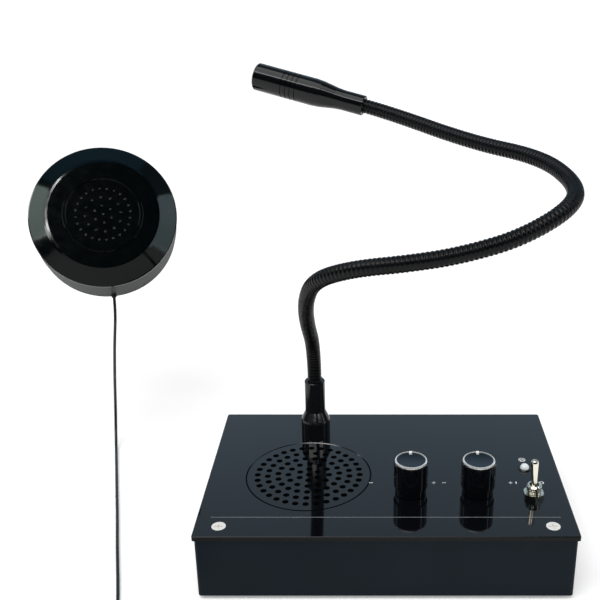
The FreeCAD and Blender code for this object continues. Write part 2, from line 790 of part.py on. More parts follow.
def make_desk_speaker():
    level = panel_under - s.cloth_thick
    for piece in make_speaker("", s.speaker_radius, s.speaker_cone_radius, s.speaker_basket_deep,
                              s.speaker_magnet_radius, s.speaker_magnet_high, s.voice_coil_radius,
                              s.speaker_flange_thick):
        place(piece, grille_x, grille_y, level)
    cylinder("grille_cloth", s.speaker_cone_radius + s.cloth_overlap, s.cloth_thick, grille_x, grille_y, level)
    screws = []
    for index, (x, y) in enumerate(speaker_screw_places()):
        head = cylinder("speaker_washer_%d" % index, s.speaker_washer_radius, s.speaker_washer_thick, x, y,
                        panel_under - clamp_drop - s.speaker_washer_thick)
        shank = cylinder("speaker_shank_%d" % index, s.speaker_screw_radius, clamp_drop, x, y,
                         panel_under - clamp_drop)
        screws.append(fuse("speaker_screw_%d" % index, head, shank))
    group("speaker_screws", screws)


# ------------------------------------------------------------------ circuit board
def make_board():
    middle_x = board_left + s.board_width / 2
    middle_y = board_front + board_depth / 2
    level = case_floor + s.board_post_high
    blank = box("board_blank", s.board_width, board_depth, s.board_thick, middle_x, middle_y, level)
    holes = [cylinder("board_hole_%d" % index, s.thread_radius + s.screw_play, s.board_thick + 2, x, y,
                      level - 1)
             for index, (x, y) in enumerate(board_hole_places())]
    cut("main_board", blank, *holes)
    group("board_screws", [
        screw_up_to("board_screw_%d" % index, x, y, board_top + s.pan_head_high, s.pan_head_radius,
                    s.pan_head_high, s.thread_radius, s.board_thick + s.board_post_high - 1)
        for index, (x, y) in enumerate(board_hole_places())])
    box("amplifier_chip", s.chip_width, s.chip_depth, s.chip_high, chip_x, chip_y, board_top)
    make_heatsink()
    group("capacitors", [
        cylinder("capacitor_%d" % index, s.capacitor_radius, s.capacitor_high,
                 board_left + s.capacitor_from_left,
                 board_front + s.capacitor_from_front + index * s.capacitor_step, board_top)
        for index in range(CAPACITOR_COUNT)])


def make_heatsink():
    """Web against the chip's back, with fins that stand off it."""
    width = s.chip_width + 2 * s.heatsink_side
    web_front = chip_y + s.chip_depth / 2
    web = box("heatsink_web", width, s.heatsink_web, s.heatsink_high, chip_x,
              web_front + s.heatsink_web / 2, board_top)
    fins = []
    for index in range(HEATSINK_FINS):
        x = chip_x + (width - s.heatsink_fin) * (index / (HEATSINK_FINS - 1) - 0.5)
        fins.append(box("heatsink_fin_%d" % index, s.heatsink_fin, s.heatsink_depth, s.heatsink_high, x,
                        web_front + s.heatsink_depth / 2, board_top))
    fuse("heatsink", web, *fins)


def make_jack(label, x, width, depth, height, axis, bore_radius, bore_deep, pin_radius=None):
    """A panel jack on the board: its nose fills a hole of the rear wall and its bore opens to the rear."""
    front = case_depth / 2 - bore_deep
    body_rear = rear_wall_in
    block = box(label + "_block", width, depth, height, x, body_rear - depth / 2, board_top)
    nose = cylinder(label + "_nose", s.jack_nose_radius, s.case_wall, x, rear_wall_in, axis, REARWARD)
    bore = cylinder(label + "_bore", bore_radius, bore_deep + 1, x, front, axis, REARWARD)
    shell = cut(label if pin_radius is None else label + "_shell", fuse(label + "_blank", block, nose), bore)
    if pin_radius is not None:
        pin = cylinder(label + "_pin", pin_radius, bore_deep, x, front - 1, axis, REARWARD)
        fuse(label, shell, pin)


# ------------------------------------------------------------------ volume controls
def make_volume_control(side, x):
    """Potentiometer with its shaft, and the knob and cap that turn with it."""
    under = panel_under
    bush_top = s.panel_thick + s.pot_bush_proud
    pot = turned(side + "_pot", [
        (0.0, -s.pot_high), (s.pot_radius, -s.pot_high), (s.pot_radius, 0.0), (s.pot_bush_radius, 0.0),
        (s.pot_bush_radius, bush_top), (s.pot_shaft_radius + s.shaft_play, bush_top),
        (s.pot_shaft_radius + s.shaft_play, -s.pot_shaft_deep), (0.0, -s.pot_shaft_deep),
    ])
    place(pot, x, knob_y, under)
    shaft_top = s.panel_thick + s.knob_high - s.knob_cap_high - 1.4
    shaft = turned(side + "_pot_shaft", [
        (0.0, s.shaft_play - s.pot_shaft_deep), (s.pot_shaft_radius, s.shaft_play - s.pot_shaft_deep),
        (s.pot_shaft_radius, shaft_top), (0.0, shaft_top),
    ])
    place(shaft, x, knob_y, under)
    room_radius = s.pot_nut_flats / math.sqrt(3.0) + s.nut_room
    room_top = s.pot_nut_thick + s.nut_room
    bush_room = s.pot_bush_proud + s.nut_room
    body_top = s.knob_high - s.knob_cap_high
    neck_top = s.knob_gap + s.knob_neck_high
    neck_radius = room_radius + s.knob_skirt_wall
    cap_radius = s.knob_radius - s.knob_cap_inset
    knob = turned(side + "_knob", [
        (room_radius, s.knob_gap), (neck_radius, s.knob_gap), (neck_radius, neck_top),
        (s.knob_radius - 0.3, neck_top), (s.knob_radius, neck_top + 0.3),
        (s.knob_radius, body_top - s.knob_shoulder),
        (s.knob_radius - s.knob_shoulder * 0.3, body_top - s.knob_shoulder * 0.3),
        (s.knob_radius - s.knob_shoulder, body_top), (0.0, body_top), (0.0, shaft_top - s.panel_thick),
        (s.pot_shaft_radius, shaft_top - s.panel_thick), (s.pot_shaft_radius, bush_room),
        (s.pot_bush_radius + s.nut_room, bush_room), (s.pot_bush_radius + s.nut_room, room_top),
        (room_radius, room_top),
    ])
    place(knob, x, knob_y, panel_top)
    rim, dish = cap_radius - s.knob_rim_width, s.knob_high - s.knob_dish_deep
    disc = turned(side + "_cap_disc", [
        (0.0, body_top), (cap_radius, body_top), (cap_radius, s.knob_high - s.knob_rim_round),
        (cap_radius - s.knob_rim_round * 0.3, s.knob_high - s.knob_rim_round * 0.3),
        (cap_radius - s.knob_rim_round, s.knob_high), (rim + 0.1, s.knob_high), (rim, dish), (0.0, dish),
    ])
    place(disc, x, knob_y, panel_top)
    pointer = box(side + "_cap_pointer", s.pointer_width, s.pointer_long,
                  s.knob_dish_deep + s.pointer_proud, x, knob_y + rim - s.pointer_long / 2, panel_top + dish)
    fuse(side + "_knob_cap", disc, pointer)


def make_pot_nuts():
    nuts = []
    for side, x in (("left", s.knob_inner_x), ("right", s.knob_outer_x)):
        blank = hexagon("pot_nut_blank_" + side, s.pot_nut_flats, s.pot_nut_thick, x, knob_y, panel_top)
        bore = cylinder("pot_nut_bore_" + side, s.pot_bush_radius, s.pot_nut_thick + 2, x, knob_y,
                        panel_top - 1)
        nuts.append(cut("pot_nut_" + side, blank, bore))
    group("pot_nuts", nuts)


# ------------------------------------------------------------------ toggle switch and lamp
def make_switch():
    x, y = switch_x, switch_y
    block = box("switch_block", s.switch_body_width, s.switch_body_depth, s.switch_body_high, x, y,
                panel_under - s.switch_body_high)
    tags = [box("switch_tag_%d" % index, 2.0, 0.8, 4.0, x, y + (index - 1) * 4.4,
                panel_under - s.switch_body_high - 4.0) for index in range(3)]
    fuse("switch_body", block, *tags)
    bush_top = s.panel_thick + s.switch_bush_proud
    place(turned("switch_bushing", [
        (s.switch_bore_radius, 0.0), (s.switch_bush_radius, 0.0), (s.switch_bush_radius, bush_top - 0.4),
        (s.switch_bush_radius - 0.4, bush_top), (s.switch_bore_radius, bush_top),
    ]), x, y, panel_under)
    blank = hexagon("switch_nut_blank", s.switch_nut_flats, s.switch_nut_thick, x, y, panel_top)
    bevel = cone("switch_nut_bevel", s.switch_nut_flats / math.sqrt(3.0) + 1.2,
                 s.switch_nut_flats / 2 - 0.1, s.switch_nut_thick + 0.4, x, y, panel_top)
    shaped = doc.addObject("Part::Common", "switch_nut_shaped")
    shaped.Base = blank
    shaped.Tool = bevel
    bore = cylinder("switch_nut_bore", s.switch_bush_radius, s.switch_nut_thick + 2, x, y, panel_top - 1)
    cut("switch_nut", shaped, bore)
    ball_radius = s.switch_bore_radius - s.lever_ball_play
    ball = doc.addObject("Part::Sphere", "lever_ball")
    bind(ball, "Radius", ball_radius)
    bat_long = s.lever_long - s.lever_tip_radius
    bat = cone("lever_bat", s.lever_root_radius, s.lever_tip_radius, bat_long, 0.0, 0.0, 0.0)
    tip = doc.addObject("Part::Sphere", "lever_tip")
    bind(tip, "Radius", s.lever_tip_radius)
    place(tip, 0.0, 0.0, bat_long)
    lever = fuse("switch_lever", ball, bat, tip)
    lean = FreeCAD.Rotation(Vector(1, 0, 0), -float(s.lever_lean))
    place(lever, x, y, panel_top + s.switch_bush_proud - s.lever_pivot_drop, lean)


def make_lamp():
    sleeve_in = s.lamp_radius + s.lamp_play
    place(turned("led_bezel", [
        (sleeve_in, -s.panel_thick), (lamp_sleeve_radius, -s.panel_thick), (lamp_sleeve_radius, 0.0),
        (s.bezel_radius, 0.0), (s.bezel_radius, s.bezel_high * 0.4), (s.bezel_radius - 0.4, s.bezel_high),
        (sleeve_in, s.bezel_high),
    ]), lamp_x, lamp_y, panel_top)
    foot = -s.panel_thick - 1.0
    barrel_top = s.lamp_proud - s.lamp_radius
    base = turned("led_barrel", [
        (0.0, foot), (s.lamp_radius + 0.3, foot), (s.lamp_radius + 0.3, -s.panel_thick),
        (s.lamp_radius, -s.panel_thick), (s.lamp_radius, barrel_top), (0.0, barrel_top),
    ])
    place(base, lamp_x, lamp_y, panel_top)
    dome = doc.addObject("Part::Sphere", "led_dome")
    bind(dome, "Radius", s.lamp_radius)
    place(dome, lamp_x, lamp_y, panel_top + barrel_top)
    fuse("led_lamp", base, dome)


# ------------------------------------------------------------------ gooseneck
def make_post():
    foot_top = s.post_foot_high
    neck_from = foot_top + s.post_taper_high
    place(turned("gooseneck_post", [
        (s.tube_bore_radius, -s.panel_thick - s.post_stud_long),
        (s.post_stud_radius, -s.panel_thick - s.post_stud_long), (s.post_stud_radius, 0.0),
        (s.post_foot_radius, 0.0), (s.post_foot_radius, foot_top - s.post_shoulder),
        (s.post_foot_radius - s.post_shoulder * 0.4, foot_top + s.post_shoulder * 0.4),
        (s.post_neck_radius, neck_from),
        (s.post_neck_radius, s.post_high - 0.3), (s.post_neck_radius - 0.3, s.post_high),
        (s.tube_radius + s.tube_fit, s.post_high), (s.tube_radius + s.tube_fit, s.post_high - s.tube_seat),
        (s.tube_bore_radius, s.post_high - s.tube_seat),
    ]), post_x, post_y, panel_top)
    blank = hexagon("post_nut_blank", s.post_nut_flats, s.post_nut_thick, post_x, post_y,
                    panel_under - s.post_nut_thick)
    bore = cylinder("post_nut_bore", s.post_stud_radius, s.post_nut_thick + 2, post_x, post_y,
                    panel_under - s.post_nut_thick - 1)
    cut("gooseneck_nut", blank, bore)


def rounded_path(points):
    """Straight runs joined by tangent arcs, and the arcs' radii."""
    edges, radii = [], []
    start = points[0]
    for before, corner, after in zip(points, points[1:], points[2:]):
        run_in, run_out = corner - before, after - corner
        turn = run_in.getAngle(run_out)
        if turn < 1e-4:
            continue
        shorter = min(run_in.Length, run_out.Length)
        reach = 0.45 * shorter
        radius = reach / math.tan(turn / 2)
        way_in, way_out = run_in / run_in.Length, run_out / run_out.Length
        enter, leave = corner - way_in * reach, corner + way_out * reach
        inward = way_out - way_in
        middle = corner + inward / inward.Length * radius * (1 / math.cos(turn / 2) - 1)
        edges.append(Part.LineSegment(start, enter).toShape())
        edges.append(Part.Arc(enter, middle, leave).toShape())
        start = leave
        radii.append(radius)
    edges.append(Part.LineSegment(start, points[-1]).toShape())
    return Part.Wire(edges), radii


def pipe(points, radius):
    """Solid round bar along a rounded path."""
    path, radii = rounded_path(points)
    ring = Part.Wire([Part.Circle(points[0], points[1] - points[0], radius).toShape()])
    bar = path.makePipeShell([ring], True, False)
    return bar, path.Length, radii


def feature(label, shape):
    """A sub-part whose shape follows chosen points."""
    item = doc.addObject("Part::Feature", label)
    item.Shape = shape
    return item


def neck_points():
    top = Vector(float(post_x), float(post_y), float(panel_top + s.post_high))
    return [top + Vector(*point) for point in NECK_ROUTE]


def neck_joint_runs():
    """Which run of the route holds each joint."""
    runs = []
    for count in NECK_LINK_RUN_COUNTS:
        runs.append(count + (runs[-1] if runs else 0))
    return runs


def neck_joint_places(points):
    """Middle of each run that holds a joint, with the run's direction."""
    places = []
    for run in neck_joint_runs():
        way = points[run + 1] - points[run]
        places.append(((points[run] + points[run + 1]) * 0.5, way / way.Length))
    return places


def make_neck():
    """The gooseneck as links: each ends in a ball, which the next link's hollow end holds."""
    points = neck_points()
    joints = neck_joint_places(points)
    radius, bore = float(s.tube_radius), float(s.tube_bore_radius)
    socket = radius + float(s.ball_play)
    seat = Vector(0, 0, float(s.tube_seat))
    end_way = (points[-1] - points[-2]).normalize()
    starts = [points[0] - seat] + [middle for middle, _ in joints]
    ends = [middle for middle, _ in joints] + [points[-1] + end_way * float(s.tube_seat)]
    corners_of = []
    low = 0
    for run in neck_joint_runs():
        corners_of.append(points[low + 1:run + 1])
        low = run
    corners_of.append(points[low + 1:-1])
    for index, (start, end) in enumerate(zip(starts, ends)):
        route = [start] + corners_of[index] + [end]
        shape, long, radii = pipe(route, radius)
        inner, _, _ = pipe(route, bore)
        if index:
            shape = shape.cut(Part.makeSphere(socket, start))
        if index < len(joints):
            shape = shape.fuse(Part.makeSphere(radius, end)).removeSplitter()
            inner = inner.fuse(Part.makeCylinder(bore, 2 * radius, end, joints[index][1]))
        shape = shape.cut(inner)
        label = "gooseneck_root" if index == 0 else "gooseneck_link_%d" % index
        feature(label, shape)
        print("%s: %.1f mm long, radii %s" % (label, long, [round(value) for value in radii]))


# ------------------------------------------------------------------ microphone
def make_microphone():
    """Sleeve, barrel, capsule and grille on the gooseneck's end, turned about its last run."""
    points = neck_points()
    way = (points[-1] - points[-2]).normalize()
    pose = FreeCAD.Placement(points[-1], FreeCAD.Rotation(Vector(0, 0, 1), way))
    inner_radius = s.mic_radius - s.mic_wall
    sleeve_end = s.mic_sleeve_long
    flare = sleeve_end - s.mic_rear_long
    body = turned("mic_sleeve", [
        (s.tube_radius + s.tube_fit, 0.0), (s.mic_rear_radius - 0.3, 0.0), (s.mic_rear_radius, 0.3),
        (s.mic_rear_radius, s.mic_rear_long),
        (s.mic_rear_radius + (s.mic_radius - s.mic_rear_radius) * 0.16, s.mic_rear_long + flare * 0.25),
        (s.mic_rear_radius + (s.mic_radius - s.mic_rear_radius) * 0.5, s.mic_rear_long + flare * 0.5),
        (s.mic_rear_radius + (s.mic_radius - s.mic_rear_radius) * 0.84, s.mic_rear_long + flare * 0.75),
        (s.mic_radius, sleeve_end), (inner_radius, sleeve_end), (inner_radius, sleeve_end + s.mic_spigot_long),
        (s.tube_bore_radius, sleeve_end + s.mic_spigot_long), (s.tube_bore_radius, s.tube_seat),
        (s.tube_radius + s.tube_fit, s.tube_seat),
    ])
    body.Placement = pose
    outline = [(inner_radius, sleeve_end), (s.mic_radius, sleeve_end)]
    for index in range(MIC_GROOVES):
        low = s.mic_groove_start + index * s.mic_groove_step
        high = low + s.mic_groove_width
        bottom = s.mic_radius - s.mic_groove_deep
        outline += [(s.mic_radius, low), (bottom, low), (bottom, high), (s.mic_radius, high)]
    outline += [(s.mic_radius, s.mic_long - s.mic_edge_round), (s.mic_radius - s.mic_edge_round, s.mic_long),
                (inner_radius, s.mic_long)]
    turned("mic_barrel", outline).Placement = pose
    grille_top = s.mic_long - s.mic_grille_set
    grille_low = grille_top - s.mic_grille_thick
    capsule_low = grille_low - s.mic_capsule_high
    turned("mic_capsule", [
        (0.0, capsule_low), (inner_radius - 0.4, capsule_low), (inner_radius, capsule_low + 0.4),
        (inner_radius, grille_low), (0.0, grille_low),
    ]).Placement = pose
    disc = cylinder("mic_grille_disc", inner_radius, s.mic_grille_thick, 0.0, 0.0, grille_low)
    holes = [cylinder("mic_grille_hole_0", s.mic_hole_radius, s.mic_grille_thick + 2, 0.0, 0.0, grille_low - 1)]
    for index in range(MIC_GRILLE_RING):
        turn = math.radians(index * 360.0 / MIC_GRILLE_RING)
        holes.append(cylinder("mic_grille_hole_%d" % (index + 1), s.mic_hole_radius, s.mic_grille_thick + 2,
                              inner_radius * 0.55 * math.cos(turn), inner_radius * 0.55 * math.sin(turn),
                              grille_low - 1))
    cut("mic_grille", disc, *holes).Placement = pose


# ------------------------------------------------------------------ outdoor unit
def outdoor_pose():
    """Where the outdoor unit stands: its face turned, tilted up and rolled."""
    turn = FreeCAD.Rotation(Vector(0, 0, 1), float(s.outdoor_turn))
    tilt = FreeCAD.Rotation(Vector(1, 0, 0), 90.0 - float(s.outdoor_tilt))
    roll = FreeCAD.Rotation(Vector(0, 0, 1), float(s.outdoor_roll))
    where = Vector(float(s.outdoor_x), float(s.outdoor_y), float(s.outdoor_z))
    return FreeCAD.Placement(where, turn * tilt * roll)


def outdoor_screw_places():
    reach = s.outdoor_face_radius - s.outdoor_post_radius - s.outdoor_screw_inset
    places = []
    for angle in OUTDOOR_SCREW_ANGLES:
        turn = math.radians(angle)
        places.append((reach * math.cos(turn), reach * math.sin(turn)))
    return places


def side_bar(name, radius, length, reach, angle, level):
    """A bar that lies along a radius of the outdoor unit, from reach outwards, at an angle from +X."""
    turn = math.radians(angle)
    outward = Vector(math.cos(turn), math.sin(turn), 0)
    rotation = FreeCAD.Rotation(Vector(0, 0, 1), outward)
    return cylinder(name, radius, length, reach * math.cos(turn), reach * math.sin(turn), level, rotation)


PORT_ANGLE = -90.0 + DRIVING_SIZES["outdoor_port_turn"]
CABLE_ANGLE = -90.0 + DRIVING_SIZES["cable_exit_turn"]
seam_radius = s.outdoor_back_radius + 0.3
exit_level = s.outdoor_seam - s.cable_exit_drop


def make_outdoor_shells(pose):
    wall = s.outdoor_wall
    low = s.outdoor_pad_thick
    back = turned("back_shell_blank", [
        (0.0, low), (s.outdoor_back_radius - 1.5, low), (s.outdoor_back_radius, low + 1.5),
        (seam_radius, s.outdoor_seam), (seam_radius - wall, s.outdoor_seam),
        (s.outdoor_back_radius - wall, low + wall), (0.0, low + wall),
    ])
    posts = [cylinder("back_post_%d" % index, s.outdoor_post_radius, s.outdoor_seam - low - wall, x, y,
                      low + wall)
             for index, (x, y) in enumerate(outdoor_screw_places())]
    cutters = []
    for index, (x, y) in enumerate(outdoor_screw_places()):
        cutters.append(cylinder("back_screw_hole_%d" % index, s.outdoor_screw_radius + s.screw_play,
                                s.outdoor_seam + 2, x, y, -1.0))
        cutters.append(cylinder("back_screw_well_%d" % index, s.outdoor_screw_head + s.screw_play,
                                s.outdoor_seam - s.outdoor_lip, x, y, -s.outdoor_lip))
    cutters.append(side_bar("grommet_hole", s.grommet_radius + s.tube_fit, wall + 4,
                            s.outdoor_back_radius - wall - 2, CABLE_ANGLE, exit_level))
    cutters.append(side_bar("port_hole", s.outdoor_port_radius, wall + 4, s.outdoor_back_radius - wall - 2,
                            PORT_ANGLE, exit_level))
    cut("outdoor_back_shell", fuse("back_shell_posts", back, *posts), *cutters).Placement = pose

    depth, face, rim = s.outdoor_depth, s.outdoor_face_radius, s.outdoor_rim_at
    body = turned("front_shell_blank", [
        (0.0, depth), (0.0, depth - wall), (face - 1, depth - wall), (s.outdoor_radius - wall, rim - 1),
        (s.outdoor_radius - wall, rim - 3), (seam_radius - wall, s.outdoor_seam), (seam_radius, s.outdoor_seam),
        (s.outdoor_radius - 0.5, rim - 2), (s.outdoor_radius, rim - 1.2), (s.outdoor_radius, rim - 0.5),
        (s.outdoor_radius - 0.5, rim), (face + s.outdoor_face_round, depth - 0.7),
        (face, depth - 0.15), (face - s.outdoor_face_round, depth),
    ])
    drilled(body, "outdoor_centre_hole", 0.0, 0.0, depth, wall, s.outdoor_hole_radius)
    for ring, count in enumerate(OUTDOOR_RING_COUNTS, start=1):
        ring_of_holes(body, "outdoor_hole_ring_%d" % ring, 0.0, 0.0, depth, wall, s.outdoor_hole_radius,
                      ring * s.outdoor_hole_pitch, count, 90.0)
    bead_in = s.outdoor_bead_radius - s.outdoor_bead_width / 2
    bead_out = s.outdoor_bead_radius + s.outdoor_bead_width / 2
    bead = turned("outdoor_bead", [
        (bead_in, depth - 0.5), (bead_out, depth - 0.5), (bead_out, depth),
        (bead_out - 0.4, depth + s.outdoor_bead_high), (bead_in + 0.4, depth + s.outdoor_bead_high),
        (bead_in, depth),
    ])
    posts = [cylinder("front_post_%d" % index, s.outdoor_post_radius, depth - wall / 2 - s.outdoor_seam, x, y,
                      s.outdoor_seam) for index, (x, y) in enumerate(outdoor_screw_places())]
    threads = [cylinder("front_thread_%d" % index, s.outdoor_screw_radius + s.screw_play / 2,
                        depth - s.outdoor_seam - 4, x, y, s.outdoor_seam - 1)
               for index, (x, y) in enumerate(outdoor_screw_places())]
    pockets = outdoor_speaker_clamp(depth - wall)
    cut("outdoor_front_shell", fuse("front_shell_posts", body, bead, *posts, *pockets), *threads).Placement = pose


def outdoor_speaker_clamp(level):
    """A low ring under the face, into which the loudspeaker is glued."""
    outer = s.outdoor_speaker_radius + 1.2
    inner = s.outdoor_speaker_radius + s.tube_fit
    high = s.speaker_flange_thick + 0.6
    return [turned("outdoor_speaker_ring", [
        (inner, level - high), (outer, level - high), (outer, level + 0.2), (inner, level + 0.2)])]


def make_outdoor_inside(pose):
    level = s.outdoor_depth - s.outdoor_wall
    shift = FreeCAD.Placement(Vector(0, 0, float(level)), FreeCAD.Rotation())
    for piece in make_speaker("outdoor_", s.outdoor_speaker_radius, s.outdoor_cone_radius,
                              s.outdoor_basket_deep, s.outdoor_magnet_radius, s.outdoor_magnet_high,
                              s.outdoor_coil_radius, s.speaker_flange_thick):
        piece.Placement = pose * shift
    group("outdoor_screws", [
        outdoor_screw(index, x, y) for index, (x, y) in enumerate(outdoor_screw_places())]).Placement = pose
    reach = s.outdoor_back_radius - s.outdoor_wall - s.outdoor_capsule_high + 0.1
    blank = side_bar("outdoor_capsule_blank", s.outdoor_capsule_radius, s.outdoor_capsule_high, reach - 0.35,
                     PORT_ANGLE, exit_level)
    group("outdoor_mic_capsule", [blank]).Placement = pose
    cylinder("outdoor_adhesive_pad", s.outdoor_pad_radius, s.outdoor_pad_thick, 0.0, 0.0, 0.0).Placement = pose


def outdoor_screw(index, x, y):
    top = s.outdoor_seam - s.outdoor_lip - s.outdoor_lip
    head = cylinder("outdoor_screw_head_%d" % index, s.outdoor_screw_head, s.outdoor_lip, x, y,
                    top - s.outdoor_lip)
    shank = cylinder("outdoor_screw_shank_%d" % index, s.outdoor_screw_radius, s.outdoor_screw_long, x, y, top)
    return fuse("outdoor_screw_%d" % index, head, shank)


def make_grommet(pose):
    """Rubber sleeve that the cable leaves the outdoor unit through."""
    bore = s.cable_radius + s.tube_fit
    body = turned("outdoor_grommet", [
        (bore, -s.outdoor_wall - 1.6), (s.grommet_flange, -s.outdoor_wall - 1.6),
        (s.grommet_flange, -s.outdoor_wall - 0.6), (s.grommet_radius, -s.outdoor_wall - 0.6),
        (s.grommet_radius, s.grommet_out - 0.4), (s.grommet_radius - 0.4, s.grommet_out), (bore, s.grommet_out),
    ])
    angle = math.radians(CABLE_ANGLE)
    outward = Vector(math.cos(angle), math.sin(angle), 0)
    seat = outward * float(seam_radius) + Vector(0, 0, float(exit_level))
    body.Placement = pose * FreeCAD.Placement(seat, FreeCAD.Rotation(Vector(0, 0, 1), outward))


# ------------------------------------------------------------------ cable, coil and plug
def make_cable():
    radius = float(s.cable_radius)
    for label, route in (("cable", CABLE_ROUTE), ("cable_tail", TAIL_ROUTE)):
        shape, long, radii = pipe([Vector(*point) for point in route], radius)
        feature(label, shape)
        section = math.pi * radius * radius
        print("%s: %.1f mm long, volume / (section x length) %.4f, radii %s" % (
            label, long, shape.Volume / (section * long), [round(value) for value in radii]))
    half, high = s.coil_half_width, s.coil_high
    low = s.tie_thick / 2
    edge = s.cable_radius
    inner, outer = s.coil_radius - half, s.coil_radius + half
    coil = turned("cable_coil", [
        (inner + edge, low), (outer - edge, low), (outer, low + edge), (outer, low + high - edge),
        (outer - edge, low + high), (inner + edge, low + high), (inner, low + high - edge), (inner, low + edge),
    ])
    place(coil, s.coil_x, s.coil_y, 0.0)
    outside = box("tie_outside", 2 * half + 2 * s.tie_thick, s.tie_width, high + 2 * s.tie_thick,
                  s.coil_radius, 0.0, 0.0)
    inside = box("tie_inside", 2 * half, s.tie_width + 2, high, s.coil_radius, 0.0, s.tie_thick)
    tie = cut("cable_tie", outside, inside)
    place(tie, s.coil_x, s.coil_y, 0.0, FreeCAD.Rotation(Vector(0, 0, 1), float(s.tie_turn)))


def make_plug():
    """Moulded grip with its strain relief, and the pin."""
    start = Vector(*TAIL_ROUTE[-1])
    way = start - Vector(*TAIL_ROUTE[-2])
    level = Vector(way.x, way.y, 0)
    pose = FreeCAD.Placement(start, FreeCAD.Rotation(Vector(0, 0, 1), level))
    long = s.plug_relief_long + s.plug_grip_long
    turned("plug_grip", [
        (0.0, 0.0), (s.plug_relief_radius - 0.4, 0.0), (s.plug_relief_radius, s.plug_relief_long - 1),
        (s.plug_radius - 0.5, s.plug_relief_long), (s.plug_radius, s.plug_relief_long + 1),
        (s.plug_radius, long - 1), (s.plug_radius - 0.5, long), (0.0, long),
    ]).Placement = pose
    tip = long + s.plug_pin_long
    neck = s.plug_pin_radius - 0.45
    turned("plug_pin", [
        (0.0, long), (s.plug_radius - 1, long), (s.plug_radius - 1, long + 1), (s.plug_pin_radius, long + 1),
        (s.plug_pin_radius, tip - 4.2), (neck, tip - 3.2), (s.plug_pin_radius, tip - 2.2), (0.5, tip), (0.0, tip),
    ]).Placement = pose


# ------------------------------------------------------------------ assembly
NODES = (
    ["lower_case", "top_panel", "cover_screws", "rear_screws", "rubber_feet", "grille_cloth",
     "speaker_basket", "speaker_cone", "speaker_magnet", "speaker_screws", "main_board", "board_screws",
     "amplifier_chip", "heatsink", "capacitors", "dc_jack", "line_jack", "pot_nuts"]
    + [side + piece for side in ("inner", "outer") for piece in ("_pot", "_pot_shaft", "_knob", "_knob_cap")]
    + ["switch_body", "switch_bushing", "switch_nut", "switch_lever", "led_lamp", "led_bezel",
       "gooseneck_post", "gooseneck_nut", "gooseneck_root"]
    + ["gooseneck_link_%d" % (index + 1) for index in range(len(NECK_LINK_RUN_COUNTS))]
    + ["mic_sleeve", "mic_barrel", "mic_capsule", "mic_grille", "outdoor_front_shell", "outdoor_back_shell",
       "outdoor_screws", "outdoor_speaker_basket", "outdoor_speaker_cone", "outdoor_speaker_magnet",
       "outdoor_mic_capsule", "outdoor_adhesive_pad", "outdoor_grommet", "cable", "cable_coil", "cable_tail",
       "cable_tie", "plug_grip", "plug_pin"]
)


def build():
    make_lower_case()
    make_top_panel()
    make_screws_and_feet()
    make_desk_speaker()
    make_board()
    make_jack("dc_jack", dc_jack_x, s.dc_jack_width, s.dc_jack_depth, s.dc_jack_high, dc_axis,
              s.dc_bore_radius, s.dc_bore_deep, s.dc_pin_radius)
    make_jack("line_jack", line_jack_x, s.line_jack_width, s.line_jack_depth, s.line_jack_high, line_axis,
              s.line_bore_radius, s.line_bore_deep)
    make_volume_control("inner", s.knob_inner_x)
    make_volume_control("outer", s.knob_outer_x)
    make_pot_nuts()
    make_switch()
    make_lamp()
    make_post()
    make_neck()
    make_microphone()
    pose = outdoor_pose()
    make_outdoor_shells(pose)
    make_outdoor_inside(pose)
    make_grommet(pose)
    make_cable()
    make_plug()
    doc.recompute()


def check_and_write():
    """Refuse a failed object or a bad shape, then write each sub-part."""
    failed = [item.Name for item in doc.Objects if "Invalid" in item.State or "Error" in item.State]
    if failed:
        raise RuntimeError("failed objects: %s" % failed)
    os.makedirs("parts", exist_ok=True)
    for name in NODES:
        item = doc.getObjectsByLabel(name)[0]
        shape = item.Shape
        if shape.isNull() or not shape.isValid():
            raise RuntimeError("bad shape: " + name)
        shape.exportStep("parts/%s.step" % name)
    print("%d sub-parts written" % len(NODES))


build()
check_and_write()
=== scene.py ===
# %% [markdown]
# A window intercom for a service counter. A flat desk unit carries a speaker grille, two volume knobs, a
# switch and a bendable neck with a microphone. A round speaker unit goes on the far side of the glass, on a
# thin lead. The solid model is loaded first as a fixed frame. It could be copied by eye instead, but then no
# piece would sit exactly on what carries it, so every piece is placed by the frame's own numbers, in metres.

# %% Load the solid model
import json

import bmesh
import bpy
from math import cos, pi, radians, sin
from mathutils import Matrix, Vector


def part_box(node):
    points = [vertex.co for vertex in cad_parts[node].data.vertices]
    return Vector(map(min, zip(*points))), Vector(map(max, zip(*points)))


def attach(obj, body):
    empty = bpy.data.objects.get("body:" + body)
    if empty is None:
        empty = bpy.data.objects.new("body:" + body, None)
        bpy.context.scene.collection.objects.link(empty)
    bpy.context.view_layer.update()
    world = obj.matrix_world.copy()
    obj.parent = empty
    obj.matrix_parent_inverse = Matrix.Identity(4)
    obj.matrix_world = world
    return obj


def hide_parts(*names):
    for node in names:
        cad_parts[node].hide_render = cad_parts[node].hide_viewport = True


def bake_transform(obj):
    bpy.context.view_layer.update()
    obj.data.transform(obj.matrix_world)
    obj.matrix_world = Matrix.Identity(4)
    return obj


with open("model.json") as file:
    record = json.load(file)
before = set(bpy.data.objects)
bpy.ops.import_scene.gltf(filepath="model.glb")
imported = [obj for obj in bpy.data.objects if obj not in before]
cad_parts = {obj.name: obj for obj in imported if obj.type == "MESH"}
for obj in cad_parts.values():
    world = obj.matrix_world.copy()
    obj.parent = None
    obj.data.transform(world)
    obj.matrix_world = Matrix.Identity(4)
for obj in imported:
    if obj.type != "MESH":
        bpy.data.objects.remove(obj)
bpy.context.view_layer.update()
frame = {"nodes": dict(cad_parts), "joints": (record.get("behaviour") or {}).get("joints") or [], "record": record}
nodes = frame["nodes"]
scene = bpy.context.scene


